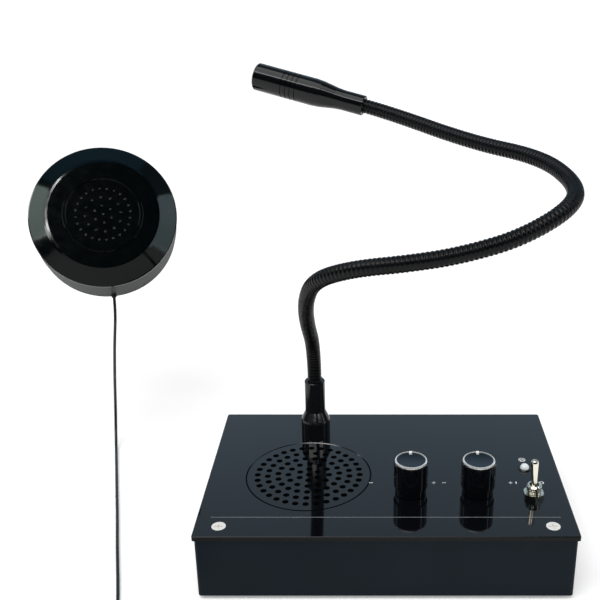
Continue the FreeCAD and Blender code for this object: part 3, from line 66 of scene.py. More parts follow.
# %% [markdown]
# The camera stands in front of the desk unit and a little above it, as a buyer would look down on a counter.
# A long lens keeps the edges nearly parallel. Its view is shifted sideways a little, because the object's
# middle is to the left of the point that the lens looks at. Moving the camera instead would show other sides
# of the knobs.

# %% Camera
IMAGE_SIDE, FOCAL_PIXELS, LENS_AXIS_X = 600, 897.8, 370.98
CAMERA_PLACE, CAMERA_DOWN = (-0.0059, -0.3376, 0.2414), 21.43
camera_data = bpy.data.cameras.new("counter_camera")
camera_data.sensor_width = 36.0
camera_data.lens = FOCAL_PIXELS / IMAGE_SIDE * camera_data.sensor_width
camera_data.shift_x = (IMAGE_SIDE / 2 - LENS_AXIS_X) / IMAGE_SIDE
camera_data.clip_start = 0.01
camera = bpy.data.objects.new("counter_camera", camera_data)
camera.location = CAMERA_PLACE
camera.rotation_euler = (radians(90.0 - CAMERA_DOWN), 0.0, 0.0)
scene.collection.objects.link(camera)
scene.camera = camera
print("lens", round(camera_data.lens, 2), "mm, sideways shift", round(camera_data.shift_x, 4))


# %% [markdown]
# The lead of the outdoor unit is a thin round cable. It leaves the unit's lower edge, hangs down beside the
# desk unit, lies along the counter towards the front, and its spare length is wound into a small coil with a
# tie. A cable can be a chain of straight tubes, a cloth-like simulation or one smooth curve. One curve is
# used, because its length and its tightest bend can be measured, and its line has no corners.

# %% The lead's route down to the counter, in millimetres
MM = 0.001
CABLE_THICK, CABLE_FINENESS, CABLE_ROUNDNESS = 0.0015, 6, 3
cable_route = [
    (-137.7, 92.0, 77.6), (-136.2, 86.9, 68.5), (-137.8, 84.6, 53.0), (-139.3, 83.0, 34.0),
    (-140.1, 80.5, 15.0), (-138.9, 71.5, 1.6), (-134.8, 56.5, 0.9), (-127.9, 31.0, 0.9), (-120.8, 5.0, 0.9),
    (-114.9, -17.6, 0.9), (-108.7, -40.0, 0.9), (-103.6, -60.0, 0.8),
]
cable_tail = [(-82.0, -91.9, 4.2), (-74.0, -91.0, 2.4), (-66.0, -90.2, 3.4), (-58.0, -89.9, 4.0),
              (-56.0, -89.9, 4.0)]
print(len(cable_route), "route points before the coil")


# %% [markdown]
# The coil has four layers of five turns. The first layer runs inwards on the counter, the next outwards on
# top of it, and so on, so every turn lies a cable's thickness from its neighbours, as it does when it is
# wound by hand. A smooth curve cuts inside its points, so they stand a little further out than the turn does.
# Sixteen points a turn make each turn a true circle.

# %% The coil's turns, in millimetres
COIL_MIDDLE = (-88.0, -79.0)
COIL_INNER, COIL_OUTER = 5.25, 12.75
COIL_START, COIL_LIFT = 0.52, 0.05
LAYERS, LAYER_TURNS, LAYER_HIGH = 4, 5, 1.52
POINTS_A_TURN, RISE_POINTS = 16, 4


def coil_turns():
    """Points of a coil wound in flat layers, starting outside at the bottom and ending outside at the top."""
    made, turn, height = [], COIL_START, LAYER_HIGH / 2 + COIL_LIFT
    stretch = 1.0 / cos(pi / POINTS_A_TURN)
    steps = LAYER_TURNS * POINTS_A_TURN

    def put(radius):
        angle = 2 * pi * turn
        made.append((COIL_MIDDLE[0] + radius * stretch * cos(angle),
                     COIL_MIDDLE[1] + radius * stretch * sin(angle), height))

    for layer in range(LAYERS):
        inwards, last = layer % 2 == 0, layer == LAYERS - 1
        for k in range(steps):
            share = k / steps if inwards else 1 - k / steps
            put(COIL_OUTER + (COIL_INNER - COIL_OUTER) * share)
            turn += 1 / POINTS_A_TURN
        for k in range(RISE_POINTS - 1 if last else RISE_POINTS):
            put(COIL_INNER if inwards else COIL_OUTER)
            turn += 1 / POINTS_A_TURN
            height += 0.0 if last else LAYER_HIGH / RISE_POINTS
    return made


coil_points = coil_turns()
print(len(coil_points), "coil points, the last at", [round(x, 1) for x in coil_points[-1]])


# %% The lead as one smooth curve
def smooth_line(name, places, fineness):
    """An object that is one smooth open line, with these places in metres as its control points."""
    curve = bpy.data.curves.new(name, "CURVE")
    curve.dimensions = "3D"
    line = curve.splines.new("NURBS")
    line.points.add(len(places) - 1)
    for point, place in zip(line.points, places):
        point.co = (*place, 1.0)
    line.order_u = 3
    line.use_endpoint_u = True
    line.resolution_u = fineness
    made = bpy.data.objects.new(name, curve)
    scene.collection.objects.link(made)
    return made


cable_points = [[x * MM for x in place] for place in cable_route + coil_points + cable_tail]
speaker_lead = smooth_line("speaker_lead", cable_points, CABLE_FINENESS)
speaker_lead.data.bevel_depth = CABLE_THICK / 2
speaker_lead.data.bevel_resolution = CABLE_ROUNDNESS
speaker_lead.data.use_fill_caps = True
spans = [(Vector(b) - Vector(a)).length for a, b in zip(cable_points, cable_points[1:])]
print("the lead's control points are", round(sum(spans), 3), "m long")


# %% [markdown]
# Geometry Nodes do the work that repeats. These small helpers build a node tree from the script: one adds a
# node with its settings and links, one names a tree's inputs, and one turns the finished result into a plain
# mesh. The same first helpers build the surface finishes further down. Sockets that share a name are picked
# by their number: a Mix node's two colours are 6 and 7 and its result is 2, and a Map Range node reads the
# span from 1 to 2 and writes the span from 3 to 4.

# %% Helpers for node trees
def feed(node, sources):
    """Links into the node's sockets from these outputs. A node stands for its own first output."""
    for name, source in dict(sources).items():
        output = source.outputs[0] if isinstance(source, bpy.types.Node) else source
        node.id_data.links.new(output, node.inputs[name])


def add(tree, kind, sets=(), links=()):
    """One node, its settings (a property by its name, a socket by its label or number), and what feeds it."""
    made = tree.nodes.new(kind)
    for name, value in dict(sets).items():
        if isinstance(name, str) and hasattr(made, name):
            setattr(made, name, value)
        else:
            made.inputs[name].default_value = value
    feed(made, links)
    return made


def new_tree(name, inputs):
    """An empty Geometry Nodes tree with these named inputs and a finish, and its inputs' own outputs."""
    tree = bpy.data.node_groups.new(name, "GeometryNodeTree")
    tree.interface.new_socket("Geometry", in_out="INPUT", socket_type="NodeSocketGeometry")
    for label, kind in dict(inputs, Finish="Material").items():
        tree.interface.new_socket(label, in_out="INPUT", socket_type="NodeSocket" + kind)
    tree.interface.new_socket("Geometry", in_out="OUTPUT", socket_type="NodeSocketGeometry")
    return tree, tree.nodes.new("NodeGroupInput").outputs


def close_tree(tree, given, shape):
    """Real meshes instead of instances, with the finish on them, go to the tree's output."""
    real = add(tree, "GeometryNodeRealizeInstances", links={0: shape})
    painted = add(tree, "GeometryNodeSetMaterial", links={0: real, 2: given["Finish"]})
    add(tree, "NodeGroupOutput", links={0: painted})
    print(tree.name, "has", len(tree.nodes), "nodes")


def grown(name, tree, values):
    """A plain mesh object made by a tree with these values."""
    host = bpy.data.objects.new(name + "_host", bpy.data.meshes.new(name + "_host"))
    scene.collection.objects.link(host)
    modifier = host.modifiers.new("nodes", "NODES")
    modifier.node_group = tree
    for item in tree.interface.items_tree:
        if item.in_out == "INPUT" and item.name in values:
            modifier[item.identifier] = values[item.name]
    seen = host.evaluated_get(bpy.context.evaluated_depsgraph_get())
    mesh = bpy.data.meshes.new_from_object(seen)
    bpy.data.objects.remove(host)
    mesh.name = name
    piece = bpy.data.objects.new(name, mesh)
    scene.collection.objects.link(piece)
    print(name, "has", len(mesh.polygons), "faces")
    return piece


# %% [markdown]
# Colours are written as a designer's six-digit codes and turned into the linear numbers that Blender works
# in. Each finish starts from Blender's Principled shader, and its patterns read the piece's own coordinates.
# Three families cover most of this object: a moulded or painted surface with a fine grain, a plated metal,
# and a few special ones such as the acrylic sheet. A noise lies mostly between a third and two thirds, and
# that span is spread over the range of roughness.

# %% Colour and the finish families
PATCHES_A_METRE, WIPES_A_METRE = 60.0, 240.0


def colour(code):
    """A linear colour from a code such as #1d232b."""
    parts = [int(code[k:k + 2], 16) / 255 for k in (1, 3, 5)]
    return tuple(p / 12.92 if p <= 0.04045 else ((p + 0.055) / 1.055) ** 2.4 for p in parts) + (1.0,)


def started(name, sets):
    """A new finish with its Principled shader on the output: material, tree, shader and the piece's place."""
    made = bpy.data.materials.new(name)
    made.use_nodes = True
    tree = made.node_tree
    tree.nodes.clear()
    shader = add(tree, "ShaderNodeBsdfPrincipled", sets)
    add(tree, "ShaderNodeOutputMaterial", links={"Surface": shader})
    return made, tree, shader, add(tree, "ShaderNodeTexCoord").outputs["Object"]


def grained(name, dark, pale, rough, grain_mm, deep_mm, sets=()):
    """A moulded, painted or lacquered surface: two near colours in soft patches 17 mm apart, a range of
    roughness in wipes 4 mm apart, and a fine grain with cells of grain_mm and a depth of deep_mm."""
    made, tree, shader, here = started(name, {"Metallic": 0.0, "IOR": 1.5, **dict(sets)})
    patches = add(tree, "ShaderNodeTexNoise", {"Scale": PATCHES_A_METRE, "Detail": 3.0}, {"Vector": here})
    tint = add(tree, "ShaderNodeMix", {"data_type": "RGBA", 6: colour(dark), 7: colour(pale)}, {0: patches})
    wipe = add(tree, "ShaderNodeTexNoise", {"Scale": WIPES_A_METRE, "Detail": 4.0, "Roughness": 0.6},
               {"Vector": here})
    level = add(tree, "ShaderNodeMapRange", {1: 0.35, 2: 0.7, 3: rough[0], 4: rough[1]}, {0: wipe})
    grain = add(tree, "ShaderNodeTexNoise", {"Scale": 1 / MM / grain_mm, "Detail": 2.0}, {"Vector": here})
    bump = add(tree, "ShaderNodeBump", {"Strength": 1.0, "Distance": deep_mm * MM}, {"Height": grain})
    feed(shader, {"Base Color": tint.outputs[2], "Roughness": level, "Normal": bump})
    return made


def plated(name, dark, pale, rough, line_mm, axis=(1.0, 1.0, 8.0), metal=1.0):
    """A plated or bare metal: fine marks of the tool or the barrel change its brightness and its roughness
    a little. They lie eight times closer along one axis, as lines do that run round a turned piece."""
    made, tree, shader, here = started(name, {"Metallic": metal})
    drawn = add(tree, "ShaderNodeMapping", {"Scale": axis}, {"Vector": here})
    marks = add(tree, "ShaderNodeTexNoise", {"Scale": 1 / MM / line_mm, "Detail": 3.0, "Roughness": 0.65},
                {"Vector": drawn})
    tint = add(tree, "ShaderNodeMix", {"data_type": "RGBA", 6: colour(dark), 7: colour(pale)}, {0: marks})
    level = add(tree, "ShaderNodeMapRange", {1: 0.3, 2: 0.7, 3: rough[0], 4: rough[1]}, {0: marks})
    feed(shader, {"Base Color": tint.outputs[2], "Roughness": level})
    return made


def other_below(made, origin, axis, level, changes):
    """Where the surface lies below a level along an axis, these sockets of its shader have other values."""
    tree = made.node_tree
    shader = next(node for node in tree.nodes if node.type == "BSDF_PRINCIPLED")
    here = add(tree, "ShaderNodeTexCoord").outputs["Object"]
    local = add(tree, "ShaderNodeVectorMath", {"operation": "SUBTRACT", 1: origin}, {0: here})
    travel = add(tree, "ShaderNodeVectorMath", {"operation": "DOT_PRODUCT", 1: axis}, {0: local})
    below = add(tree, "ShaderNodeMath", {"operation": "LESS_THAN", 1: level}, {0: travel.outputs["Value"]})
    for name, value in changes.items():
        socket = shader.inputs[name]
        kind, above, under, result = ("FLOAT", 2, 3, 0) if isinstance(value, float) else ("RGBA", 6, 7, 2)
        mixed = add(tree, "ShaderNodeMix", {"data_type": kind, above: socket.default_value, under: value},
                    {0: below})
        if socket.is_linked:
            feed(mixed, {above: socket.links[0].from_socket})
        feed(shader, {name: mixed.outputs[result]})


print("finish families ready")


# %% [markdown]
# The black finishes look alike from afar, and differ in gloss and grain. The case is folded steel with a
# satin powder coat, which the eye reads by its soft sheen and its tiny orange peel. Knobs, microphone and
# outdoor unit are polished plastic or lacquer, which the eye reads by sharp highlights. One could give them
# all one black, but then the pieces would melt together.

# %% Black coats, plastics and rubber
SATIN = {"Specular IOR Level": 0.08}
LACQUER = {"Specular IOR Level": 0.3}
DEEP_BLACK = {"Specular IOR Level": 0.15}
DULL_BLACK = {"Specular IOR Level": 0.05}
finishes = {
    # satin powder coat: a soft sheen over a fine orange peel
    "case_steel": grained("satin_powder_coat", "#10181f", "#141d25", (0.42, 0.5), 0.6, 0.012, SATIN),
    # polished moulded knobs: sharp upright highlights
    "knob_plastic": grained("polished_knob_plastic", "#07080b", "#0a0b0f", (0.08, 0.14), 2.5, 0.004),
    # lacquered turned brass: gloss with a hint of the turning marks
    "neck_black": grained("lacquered_brass", "#050506", "#08090a", (0.1, 0.18), 1.4, 0.004, LACQUER),
    # lacquered steel wire: a small highlight on every rib
    "gooseneck_steel": grained("lacquered_wire", "#040506", "#060708", (0.2, 0.3), 0.5, 0.004, DEEP_BLACK),
    # microphone body: the glossiest lacquer on the object
    "mic_black": grained("gloss_mic_lacquer", "#040506", "#060708", (0.08, 0.13), 2.0, 0.003, LACQUER),
    # outdoor unit: polished weatherproof plastic with faint flow waves
    "outdoor_plastic": grained("polished_outdoor_plastic", "#010202", "#020404", (0.08, 0.14), 6.0, 0.02,
                               DEEP_BLACK),
    # its back shell: the same plastic from a spark-eroded mould, dull and a little paler
    "outdoor_back": grained("spark_eroded_back_plastic", "#151b1d", "#1b2224", (0.45, 0.55), 0.4, 0.015,
                            DULL_BLACK),
    # cable sheath: soft plastic, half gloss
    "cable_pvc": grained("cable_sheath", "#16191b", "#202527", (0.2, 0.3), 1.0, 0.003),
    # plug grip: fine spark-eroded grain
    "plug_plastic": grained("plug_grip_plastic", "#0c0d0f", "#121316", (0.35, 0.45), 0.3, 0.01),
    # tie: smooth nylon
    "tie_black": grained("nylon_tie", "#0d0e10", "#141517", (0.35, 0.45), 0.8, 0.004),
    # rubber: dull, with a dry bloom
    "rubber": grained("matt_rubber", "#0c0c0d", "#151617", (0.7, 0.85), 0.5, 0.01),
    # foam pad: open cells
    "adhesive_foam": grained("foam_pad", "#0e0f10", "#191a1b", (0.85, 0.95), 0.7, 0.12),
    # the lamp's clip, the chips' dull housings and the capacitors' glossy dark blue sleeves
    "lamp_bezel": grained("lamp_clip_plastic", "#08090b", "#0c0d10", (0.15, 0.22), 1.0, 0.004),
    "chip_plastic": grained("chip_housing", "#0f1011", "#17181a", (0.55, 0.7), 0.2, 0.006),
    "capacitor_can": grained("capacitor_sleeve", "#0d1626", "#12203a", (0.2, 0.3), 1.0, 0.005),
    # pressed steel and paper of the loudspeakers
    "speaker_steel": grained("pressed_black_steel", "#1a1b1d", "#232527", (0.35, 0.5), 0.8, 0.01),
    "speaker_paper": grained("pressed_paper", "#131313", "#1e1d1c", (0.8, 0.9), 0.35, 0.05),
    "magnet_ferrite": grained("sintered_magnet", "#242527", "#303134", (0.6, 0.75), 0.4, 0.02),
    # fins of the amplifier's heatsink and the felt of the microphone capsules
    "heatsink_aluminium": grained("black_anodised_fins", "#151618", "#1e2022", (0.4, 0.5), 0.25, 0.006),
    "capsule": grained("felt_faced_capsule", "#0b0b0c", "#171718", (0.8, 0.95), 0.25, 0.05),
}
print(len(finishes), "black and moulded finishes")


# %% [markdown]
# Bright parts are few and small, so they carry much of the look: zinc screws, a nickel nut, a nickel lever
# and steel potentiometers. They could be even mirrors, but real plating never is. Fine marks from the plating
# barrel break it up.

# %% Plated metals
# the screws are zinc-coated; only part of their near-white colour is mirrored, and the rest is a matt white: a
# painted highlight that makes the heads look bright
finishes["plated_screw"] = plated("zinc_flake_coat", "#e3e0da", "#fdfbf6", (0.35, 0.5), 0.35, metal=0.3)
# nickel is warmer than chrome: the nut is softly bright, and the lever nearly a mirror
finishes["plated_nut"] = plated("nickel_nut", "#b9b6ac", "#e2dfd4", (0.14, 0.26), 0.5)
finishes["switch_chrome"] = plated("polished_nickel", "#cdc9b8", "#efecdf", (0.06, 0.14), 0.8)
# zinc-plated cans: grey and cloudy
finishes["pot_steel"] = plated("zinc_pot_steel", "#a5a6a2", "#c6c7c2", (0.25, 0.4), 0.4)
# nickel over brass: the plug lies down, so its marks are close along X instead of along Z
finishes["plug_metal"] = plated("plug_nickel", "#c3bfb2", "#e6e3d8", (0.1, 0.2), 0.5, (8.0, 1.0, 1.0))
# blackened wire: dark, with a dull glint
finishes["mic_mesh"] = plated("black_wire_mesh", "#1b1c1e", "#2a2b2e", (0.35, 0.5), 0.3)
print(len(finishes), "finishes so far")


# %% [markdown]
# The top is a sheet of black acrylic, polished like piano lacquer. It is nearly a mirror: the neck and the
# knobs stand on their own reflections. Its colour could be painted lighter to look grey, but then the
# reflections of the black parts would be grey as well. So the sheet is almost black, and the grey comes from
# what it reflects.

# %% Polished acrylic sheet
PANEL_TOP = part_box("top_panel")[1].z
EDGE_BELOW = 0.0001
HAZE_A_METRE, WAVES_A_METRE, WAVE_DEEP = 28.0, 40.0, 0.00001
acrylic, tree, shader, here = started("polished_acrylic", {"Base Color": colour("#06080b"), "Metallic": 0.0,
                                                           "IOR": 1.49})
# handling leaves a haze in soft patches, which widens the reflections a little
haze = add(tree, "ShaderNodeTexNoise", {"Scale": HAZE_A_METRE, "Detail": 4.0, "Roughness": 0.6},
           {"Vector": here})
level = add(tree, "ShaderNodeMapRange", {1: 0.4, 2: 0.75, 3: 0.035, 4: 0.075}, {0: haze})
# cast sheet is never quite flat: waves some 25 mm long and a few microns deep bend a reflected edge
wave = add(tree, "ShaderNodeTexNoise", {"Scale": WAVES_A_METRE, "Detail": 1.0}, {"Vector": here})
bend = add(tree, "ShaderNodeBump", {"Strength": 1.0, "Distance": WAVE_DEEP}, {"Height": wave})
feed(shader, {"Roughness": level, "Normal": bend})
finishes["panel_gloss"] = acrylic
# the sheet's edges and the walls of its holes are dull, as the saw and the drill left them, and a metallic share
# on their near-black colour takes most of their reflection away: painted shade that keeps them dark
SAWN_AND_SHADED = {"Roughness": 0.55, "Metallic": 0.6}
other_below(acrylic, (0.0, 0.0, PANEL_TOP), (0.0, 0.0, 1.0), -EDGE_BELOW, SAWN_AND_SHADED)
print("the acrylic sheet's top is", round(PANEL_TOP / MM, 2), "mm above the counter")


# %% [markdown]
# The outdoor unit hangs in the air, tilted, on the far side of the glass. It is polished on its face and its
# bevel, and dull and greyer on its side wall, where the mould was left rough so that it lets go. Two
# materials on one mesh would need its faces sorted, so a level along the unit's own axis parts them.

# %% Side wall of the outdoor unit
BEAD_HIGH, RIM_BELOW_FACE = 0.0006, 0.0067
mount = next(m for m in frame["record"]["mounts"] if m["name"] == "outdoor_back")
unit_back, unit_way = Vector(mount["pos_m"]), -Vector(mount["axis"]).normalized()
unit_top = max((v.co - unit_back).dot(unit_way) for v in nodes["outdoor_front_shell"].data.vertices)
unit_face = unit_top - BEAD_HIGH
other_below(finishes["outdoor_plastic"], unit_back, unit_way, unit_face - RIM_BELOW_FACE,
            {"Roughness": 0.5, "Base Color": colour("#0e1416")})
print("the outdoor unit's face is", round(unit_face / MM, 2), "mm from its back")


# %% [markdown]
# Each knob has a dark metal disc on top with a bright bevelled rim and a short white pointer. The disc was
# turned on a lathe, so its fine marks are circles about its own middle. They could be real grooves, but
# they are 0.22 mm apart. So the material measures how far each point is from the disc's middle, and the
# circles and the pointer stay on the disc while the knob turns.

# %% Turned knob caps
CAP_RIM, RIM_SOFT, RIM_PAINTED_WHITE = 0.0007, 0.00005, 0.35
CAP_HOLLOW, LATHE_PITCH = 0.0005, 0.00022
POINTER_HALF_WIDE, POINTER_LONG = 0.0006, 0.00215


def place_of(name):
    """The middle of a node's box across and deep, and half its width, in metres."""
    low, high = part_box(name)
    return (low.x + high.x) / 2, (low.y + high.y) / 2, (high.x - low.x) / 2


def turned_cap(name, middle, radius):
    """Circles of the lathe on a hollowed disc, a bright rim, and a white pointer at the rear."""
    made, tree, shader, here = started(name, {"Metallic": 1.0})
    local = add(tree, "ShaderNodeVectorMath", {"operation": "SUBTRACT", 1: middle}, {0: here})
    flat = add(tree, "ShaderNodeVectorMath", {"operation": "MULTIPLY", 1: (1.0, 1.0, 0.0)}, {0: local})
    away = add(tree, "ShaderNodeVectorMath", {"operation": "LENGTH"}, {0: flat})
    rings = add(tree, "ShaderNodeMath", {"operation": "MULTIPLY", 1: 2 * pi / LATHE_PITCH},
                {0: away.outputs["Value"]})
    swing = add(tree, "ShaderNodeMath", {"operation": "SINE"}, {0: rings})
    level = add(tree, "ShaderNodeMapRange", {1: -1.0, 2: 1.0, 3: 0.16, 4: 0.27}, {0: swing})
    rim = add(tree, "ShaderNodeMapRange", {1: radius - CAP_RIM - RIM_SOFT, 2: radius - CAP_RIM + RIM_SOFT},
              {0: away.outputs["Value"]})
    metal = add(tree, "ShaderNodeMix", {"data_type": "RGBA", 6: colour("#3b4248"), 7: colour("#f4f2ee")},
                {0: rim})
    parts = add(tree, "ShaderNodeSeparateXYZ", links={0: flat})
    aside = add(tree, "ShaderNodeMath", {"operation": "ABSOLUTE"}, {0: parts.outputs["X"]})
    narrow = add(tree, "ShaderNodeMath", {"operation": "LESS_THAN", 1: POINTER_HALF_WIDE}, {0: aside})
    behind = add(tree, "ShaderNodeMath", {"operation": "GREATER_THAN", 1: radius - POINTER_LONG},
                 {0: parts.outputs["Y"]})
    on_line = add(tree, "ShaderNodeMath", {"operation": "MULTIPLY"}, {0: narrow, 1: behind})
    paint = add(tree, "ShaderNodeMix", {"data_type": "RGBA", 7: colour("#f2f4f4")},
                {0: on_line, 6: metal.outputs[2]})
    # the rim is bright metal, and a share of it is a near-white matt colour instead: a painted highlight that
    # brightens the whole rim
    bare = add(tree, "ShaderNodeMath", {"operation": "SUBTRACT", 0: 1.0}, {1: on_line})
    painted_rim_white = add(tree, "ShaderNodeMath", {"operation": "MULTIPLY", 1: RIM_PAINTED_WHITE}, {0: rim})
    metallic = add(tree, "ShaderNodeMath", {"operation": "SUBTRACT", "use_clamp": True},
                   {0: bare, 1: painted_rim_white})
    # the disc is hollowed by half a millimetre, as the square of the distance from its middle
    share = add(tree, "ShaderNodeMath", {"operation": "DIVIDE", 1: radius}, {0: away.outputs["Value"]})
    bowl = add(tree, "ShaderNodeMath", {"operation": "POWER", 1: 2.0}, {0: share})
    hollow = add(tree, "ShaderNodeBump", {"Strength": 1.0, "Distance": CAP_HOLLOW}, {"Height": bowl})
    feed(shader, {"Base Color": paint.outputs[2], "Metallic": metallic, "Roughness": level, "Normal": hollow})
    return made


own_finishes = {"outdoor_back_shell": finishes["outdoor_back"]}
for word in ("inner", "outer"):
    x, y, radius = place_of(word + "_knob_cap")
    own_finishes[word + "_knob_cap"] = turned_cap("turned_cap_" + word, (x, y, 0.0), radius)
    print(word, "cap's middle", round(x / MM, 2), round(y / MM, 2), "across", round(2 * radius / MM, 2))


# %% [markdown]
# The last finishes are special ones: woven cloth behind the grille, the milky lens of the lamp, and the
# circuit board. The cloth is two crossing waves, because real threads would be a waste where only a few of
# them show through each hole. A real thread is 0.4 mm wide. They are drawn 2.5 mm apart, so that they show.

# %% Cloth, lens and circuit board
WEAVE_SCALE, THREAD_RISE = 125.0, 0.0002
cloth, tree, shader, here = started("acoustic_cloth", {"Metallic": 0.0, "Roughness": 0.9, "IOR": 1.5,
                                                       "Sheen Weight": 0.2})
warp = add(tree, "ShaderNodeTexWave", {"Scale": WEAVE_SCALE, "bands_direction": "X"}, {"Vector": here})
weft = add(tree, "ShaderNodeTexWave", {"Scale": WEAVE_SCALE, "bands_direction": "Y"}, {"Vector": here})
crossed = add(tree, "ShaderNodeMath", {"operation": "MAXIMUM"}, {0: warp, 1: weft})
thread = add(tree, "ShaderNodeMix", {"data_type": "RGBA", 6: colour("#040405"), 7: colour("#0d0e10")},
             {0: crossed})
rise = add(tree, "ShaderNodeBump", {"Strength": 0.8, "Distance": THREAD_RISE}, {"Height": crossed})
feed(shader, {"Base Color": thread.outputs[2], "Normal": rise})
finishes["grille_cloth"] = cloth

# epoxy with a little chalk in it: light goes in and comes out soft
SWIRLS_A_METRE = 900.0
lens, tree, shader, here = started("milky_lamp_epoxy", {
    "IOR": 1.5, "Roughness": 0.08, "Transmission Weight": 0.12, "Subsurface Weight": 0.1})
swirl = add(tree, "ShaderNodeTexNoise", {"Scale": SWIRLS_A_METRE, "Detail": 2.0}, {"Vector": here})
milk = add(tree, "ShaderNodeMix", {"data_type": "RGBA", 6: colour("#eef2f4"), 7: colour("#ffffff")},
           {0: swirl})
feed(shader, {"Base Color": milk.outputs[2]})
finishes["lamp_lens"] = lens

# green solder mask over copper tracks, which show through it as a paler green
TRACKS_A_METRE, TRACK_WIDE = 120.0, 0.03
board, tree, shader, here = started("solder_mask_board", {"Metallic": 0.0, "IOR": 1.5, "Roughness": 0.3})
tracks = add(tree, "ShaderNodeTexBrick", {"Scale": TRACKS_A_METRE, "Mortar Size": TRACK_WIDE,
                                          "Color1": colour("#0c4a23"), "Color2": colour("#0e5328"),
                                          "Mortar": colour("#2c7a3f")}, {"Vector": here})
feed(shader, {"Base Color": tracks.outputs["Color"]})
finishes["board"] = board
print(len(finishes), "finishes in all")


# %% [markdown]
# The record of the model says which finish slot each solid belongs to. A list of solids could be kept here
# as well, but reading the record keeps this scene and the solid model in step: a solid that is added later
# gets its finish without a new line here.

# %% Give every solid its finish
slot_of = {item["node"]: item["material_slot"] for item in frame["record"]["subparts"]}
for name, solid in nodes.items():
    solid.data.materials.clear()
    solid.data.materials.append(own_finishes.get(name) or finishes[slot_of[name]])
print(len(nodes), "solids have their finish")


# %% [markdown]
# The neck is a steel hose wound from wire, so its outside is one long screw thread of fine ribs. Rings could
# be placed one by one, but a real wound hose has a helix, and its ribs open on the outside of a bend. A
# circle is swept along the neck's line, and each point is then pushed in by where it lies on the helix. The
# hose is cut half-way between joints, into one length about each joint.

# %% The neck's line
NECK_RADIUS, RIB_PITCH, RIB_DEPTH, NECK_FINENESS = 0.0032, 0.0017, 0.00034, 32
neck_foot = Vector((*place_of("gooseneck_post")[:2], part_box("gooseneck_post")[1].z))
neck_route = [
    (0, 0, 0), (0, 0, 17), (-1.2, -20.7, 36.8), (0, -42, 55), (4.7, -59, 70), (18.5, -69, 77.8),
    (39.7, -74, 81.7), (57.1, -74, 84.7), (77.7, -73, 90.7), (96.8, -64, 99.6), (102, -38.3, 101.2),
    (93.5, -13, 105.2), (68, 9.8, 106.6), (33.7, 38.6, 114.1), (22.5, 42, 116.6),
]
neck_places = [neck_foot + Vector(place) * MM for place in neck_route]
neck_path = smooth_line("neck_line", neck_places, NECK_FINENESS)
bare_line = bpy.data.meshes.new_from_object(neck_path.evaluated_get(bpy.context.evaluated_depsgraph_get()))
neck_points = [v.co.copy() for v in bare_line.vertices]
bpy.data.meshes.remove(bare_line)
along = [0.0]
for a, b in zip(neck_points, neck_points[1:]):
    along.append(along[-1] + (b - a).length)
print("the neck is", round(along[-1] / MM, 1), "mm long, its foot at", [round(x / MM, 1) for x in neck_foot])

# %% A tree that winds a ribbed hose along a line
POINTS_A_RIB, POINTS_ROUND = 8.0, 28
hose, given = new_tree("wound_hose", {"Route": "Object", "Radius": "Float", "Rib pitch": "Float",
                                      "Rib depth": "Float", "From": "Float", "To": "Float"})
route = add(hose, "GeometryNodeObjectInfo", links={0: given["Route"]})
step = add(hose, "ShaderNodeMath", {"operation": "DIVIDE", 1: POINTS_A_RIB}, {0: given["Rib pitch"]})
fine = add(hose, "GeometryNodeResampleCurve", {"mode": "LENGTH"},
           {"Curve": route.outputs["Geometry"], "Length": step})
travel = add(hose, "GeometryNodeSplineParameter")
spot = add(hose, "GeometryNodeInputPosition")
kept = add(hose, "GeometryNodeCaptureAttribute", links={0: fine})
kept.capture_items.new("FLOAT", "Travel")
kept.capture_items.new("VECTOR", "Middle")
feed(kept, {"Travel": travel.outputs["Length"], "Middle": spot})
# sockets 4 and 5 of a trim are the start and the end as lengths
cut = add(hose, "GeometryNodeTrimCurve", {"mode": "LENGTH"}, {0: kept, 4: given["From"], 5: given["To"]})
section = add(hose, "GeometryNodeCurvePrimitiveCircle", {"Resolution": POINTS_ROUND},
              {"Radius": given["Radius"]})
share = add(hose, "GeometryNodeCaptureAttribute", links={0: section})
share.capture_items.new("FLOAT", "Round")
feed(share, {"Round": travel.outputs["Factor"]})
swept = add(hose, "GeometryNodeCurveToMesh", {"Fill Caps": True}, {"Curve": cut, "Profile Curve": share})
turns = add(hose, "ShaderNodeMath", {"operation": "DIVIDE"},
            {0: kept.outputs["Travel"], 1: given["Rib pitch"]})
phase = add(hose, "ShaderNodeMath", {"operation": "ADD"}, {0: turns, 1: share.outputs["Round"]})
half_turn = add(hose, "ShaderNodeMath", {"operation": "MULTIPLY", 1: pi}, {0: phase})
swing = add(hose, "ShaderNodeMath", {"operation": "SINE"}, {0: half_turn})
ridge = add(hose, "ShaderNodeMath", {"operation": "ABSOLUTE"}, {0: swing})
groove = add(hose, "ShaderNodeMath", {"operation": "SUBTRACT", 1: 1.0}, {0: ridge})
depth = add(hose, "ShaderNodeMath", {"operation": "MULTIPLY"}, {0: groove, 1: given["Rib depth"]})
outward = add(hose, "ShaderNodeVectorMath", {"operation": "SUBTRACT"}, {0: spot, 1: kept.outputs["Middle"]})
unit = add(hose, "ShaderNodeVectorMath", {"operation": "NORMALIZE"}, {0: outward})
push = add(hose, "ShaderNodeVectorMath", {"operation": "SCALE"}, {0: unit, "Scale": depth})
pushed = add(hose, "GeometryNodeSetPosition", links={0: swept, "Offset": push})
smooth = add(hose, "GeometryNodeSetShadeSmooth", links={0: pushed})
close_tree(hose, given, smooth)

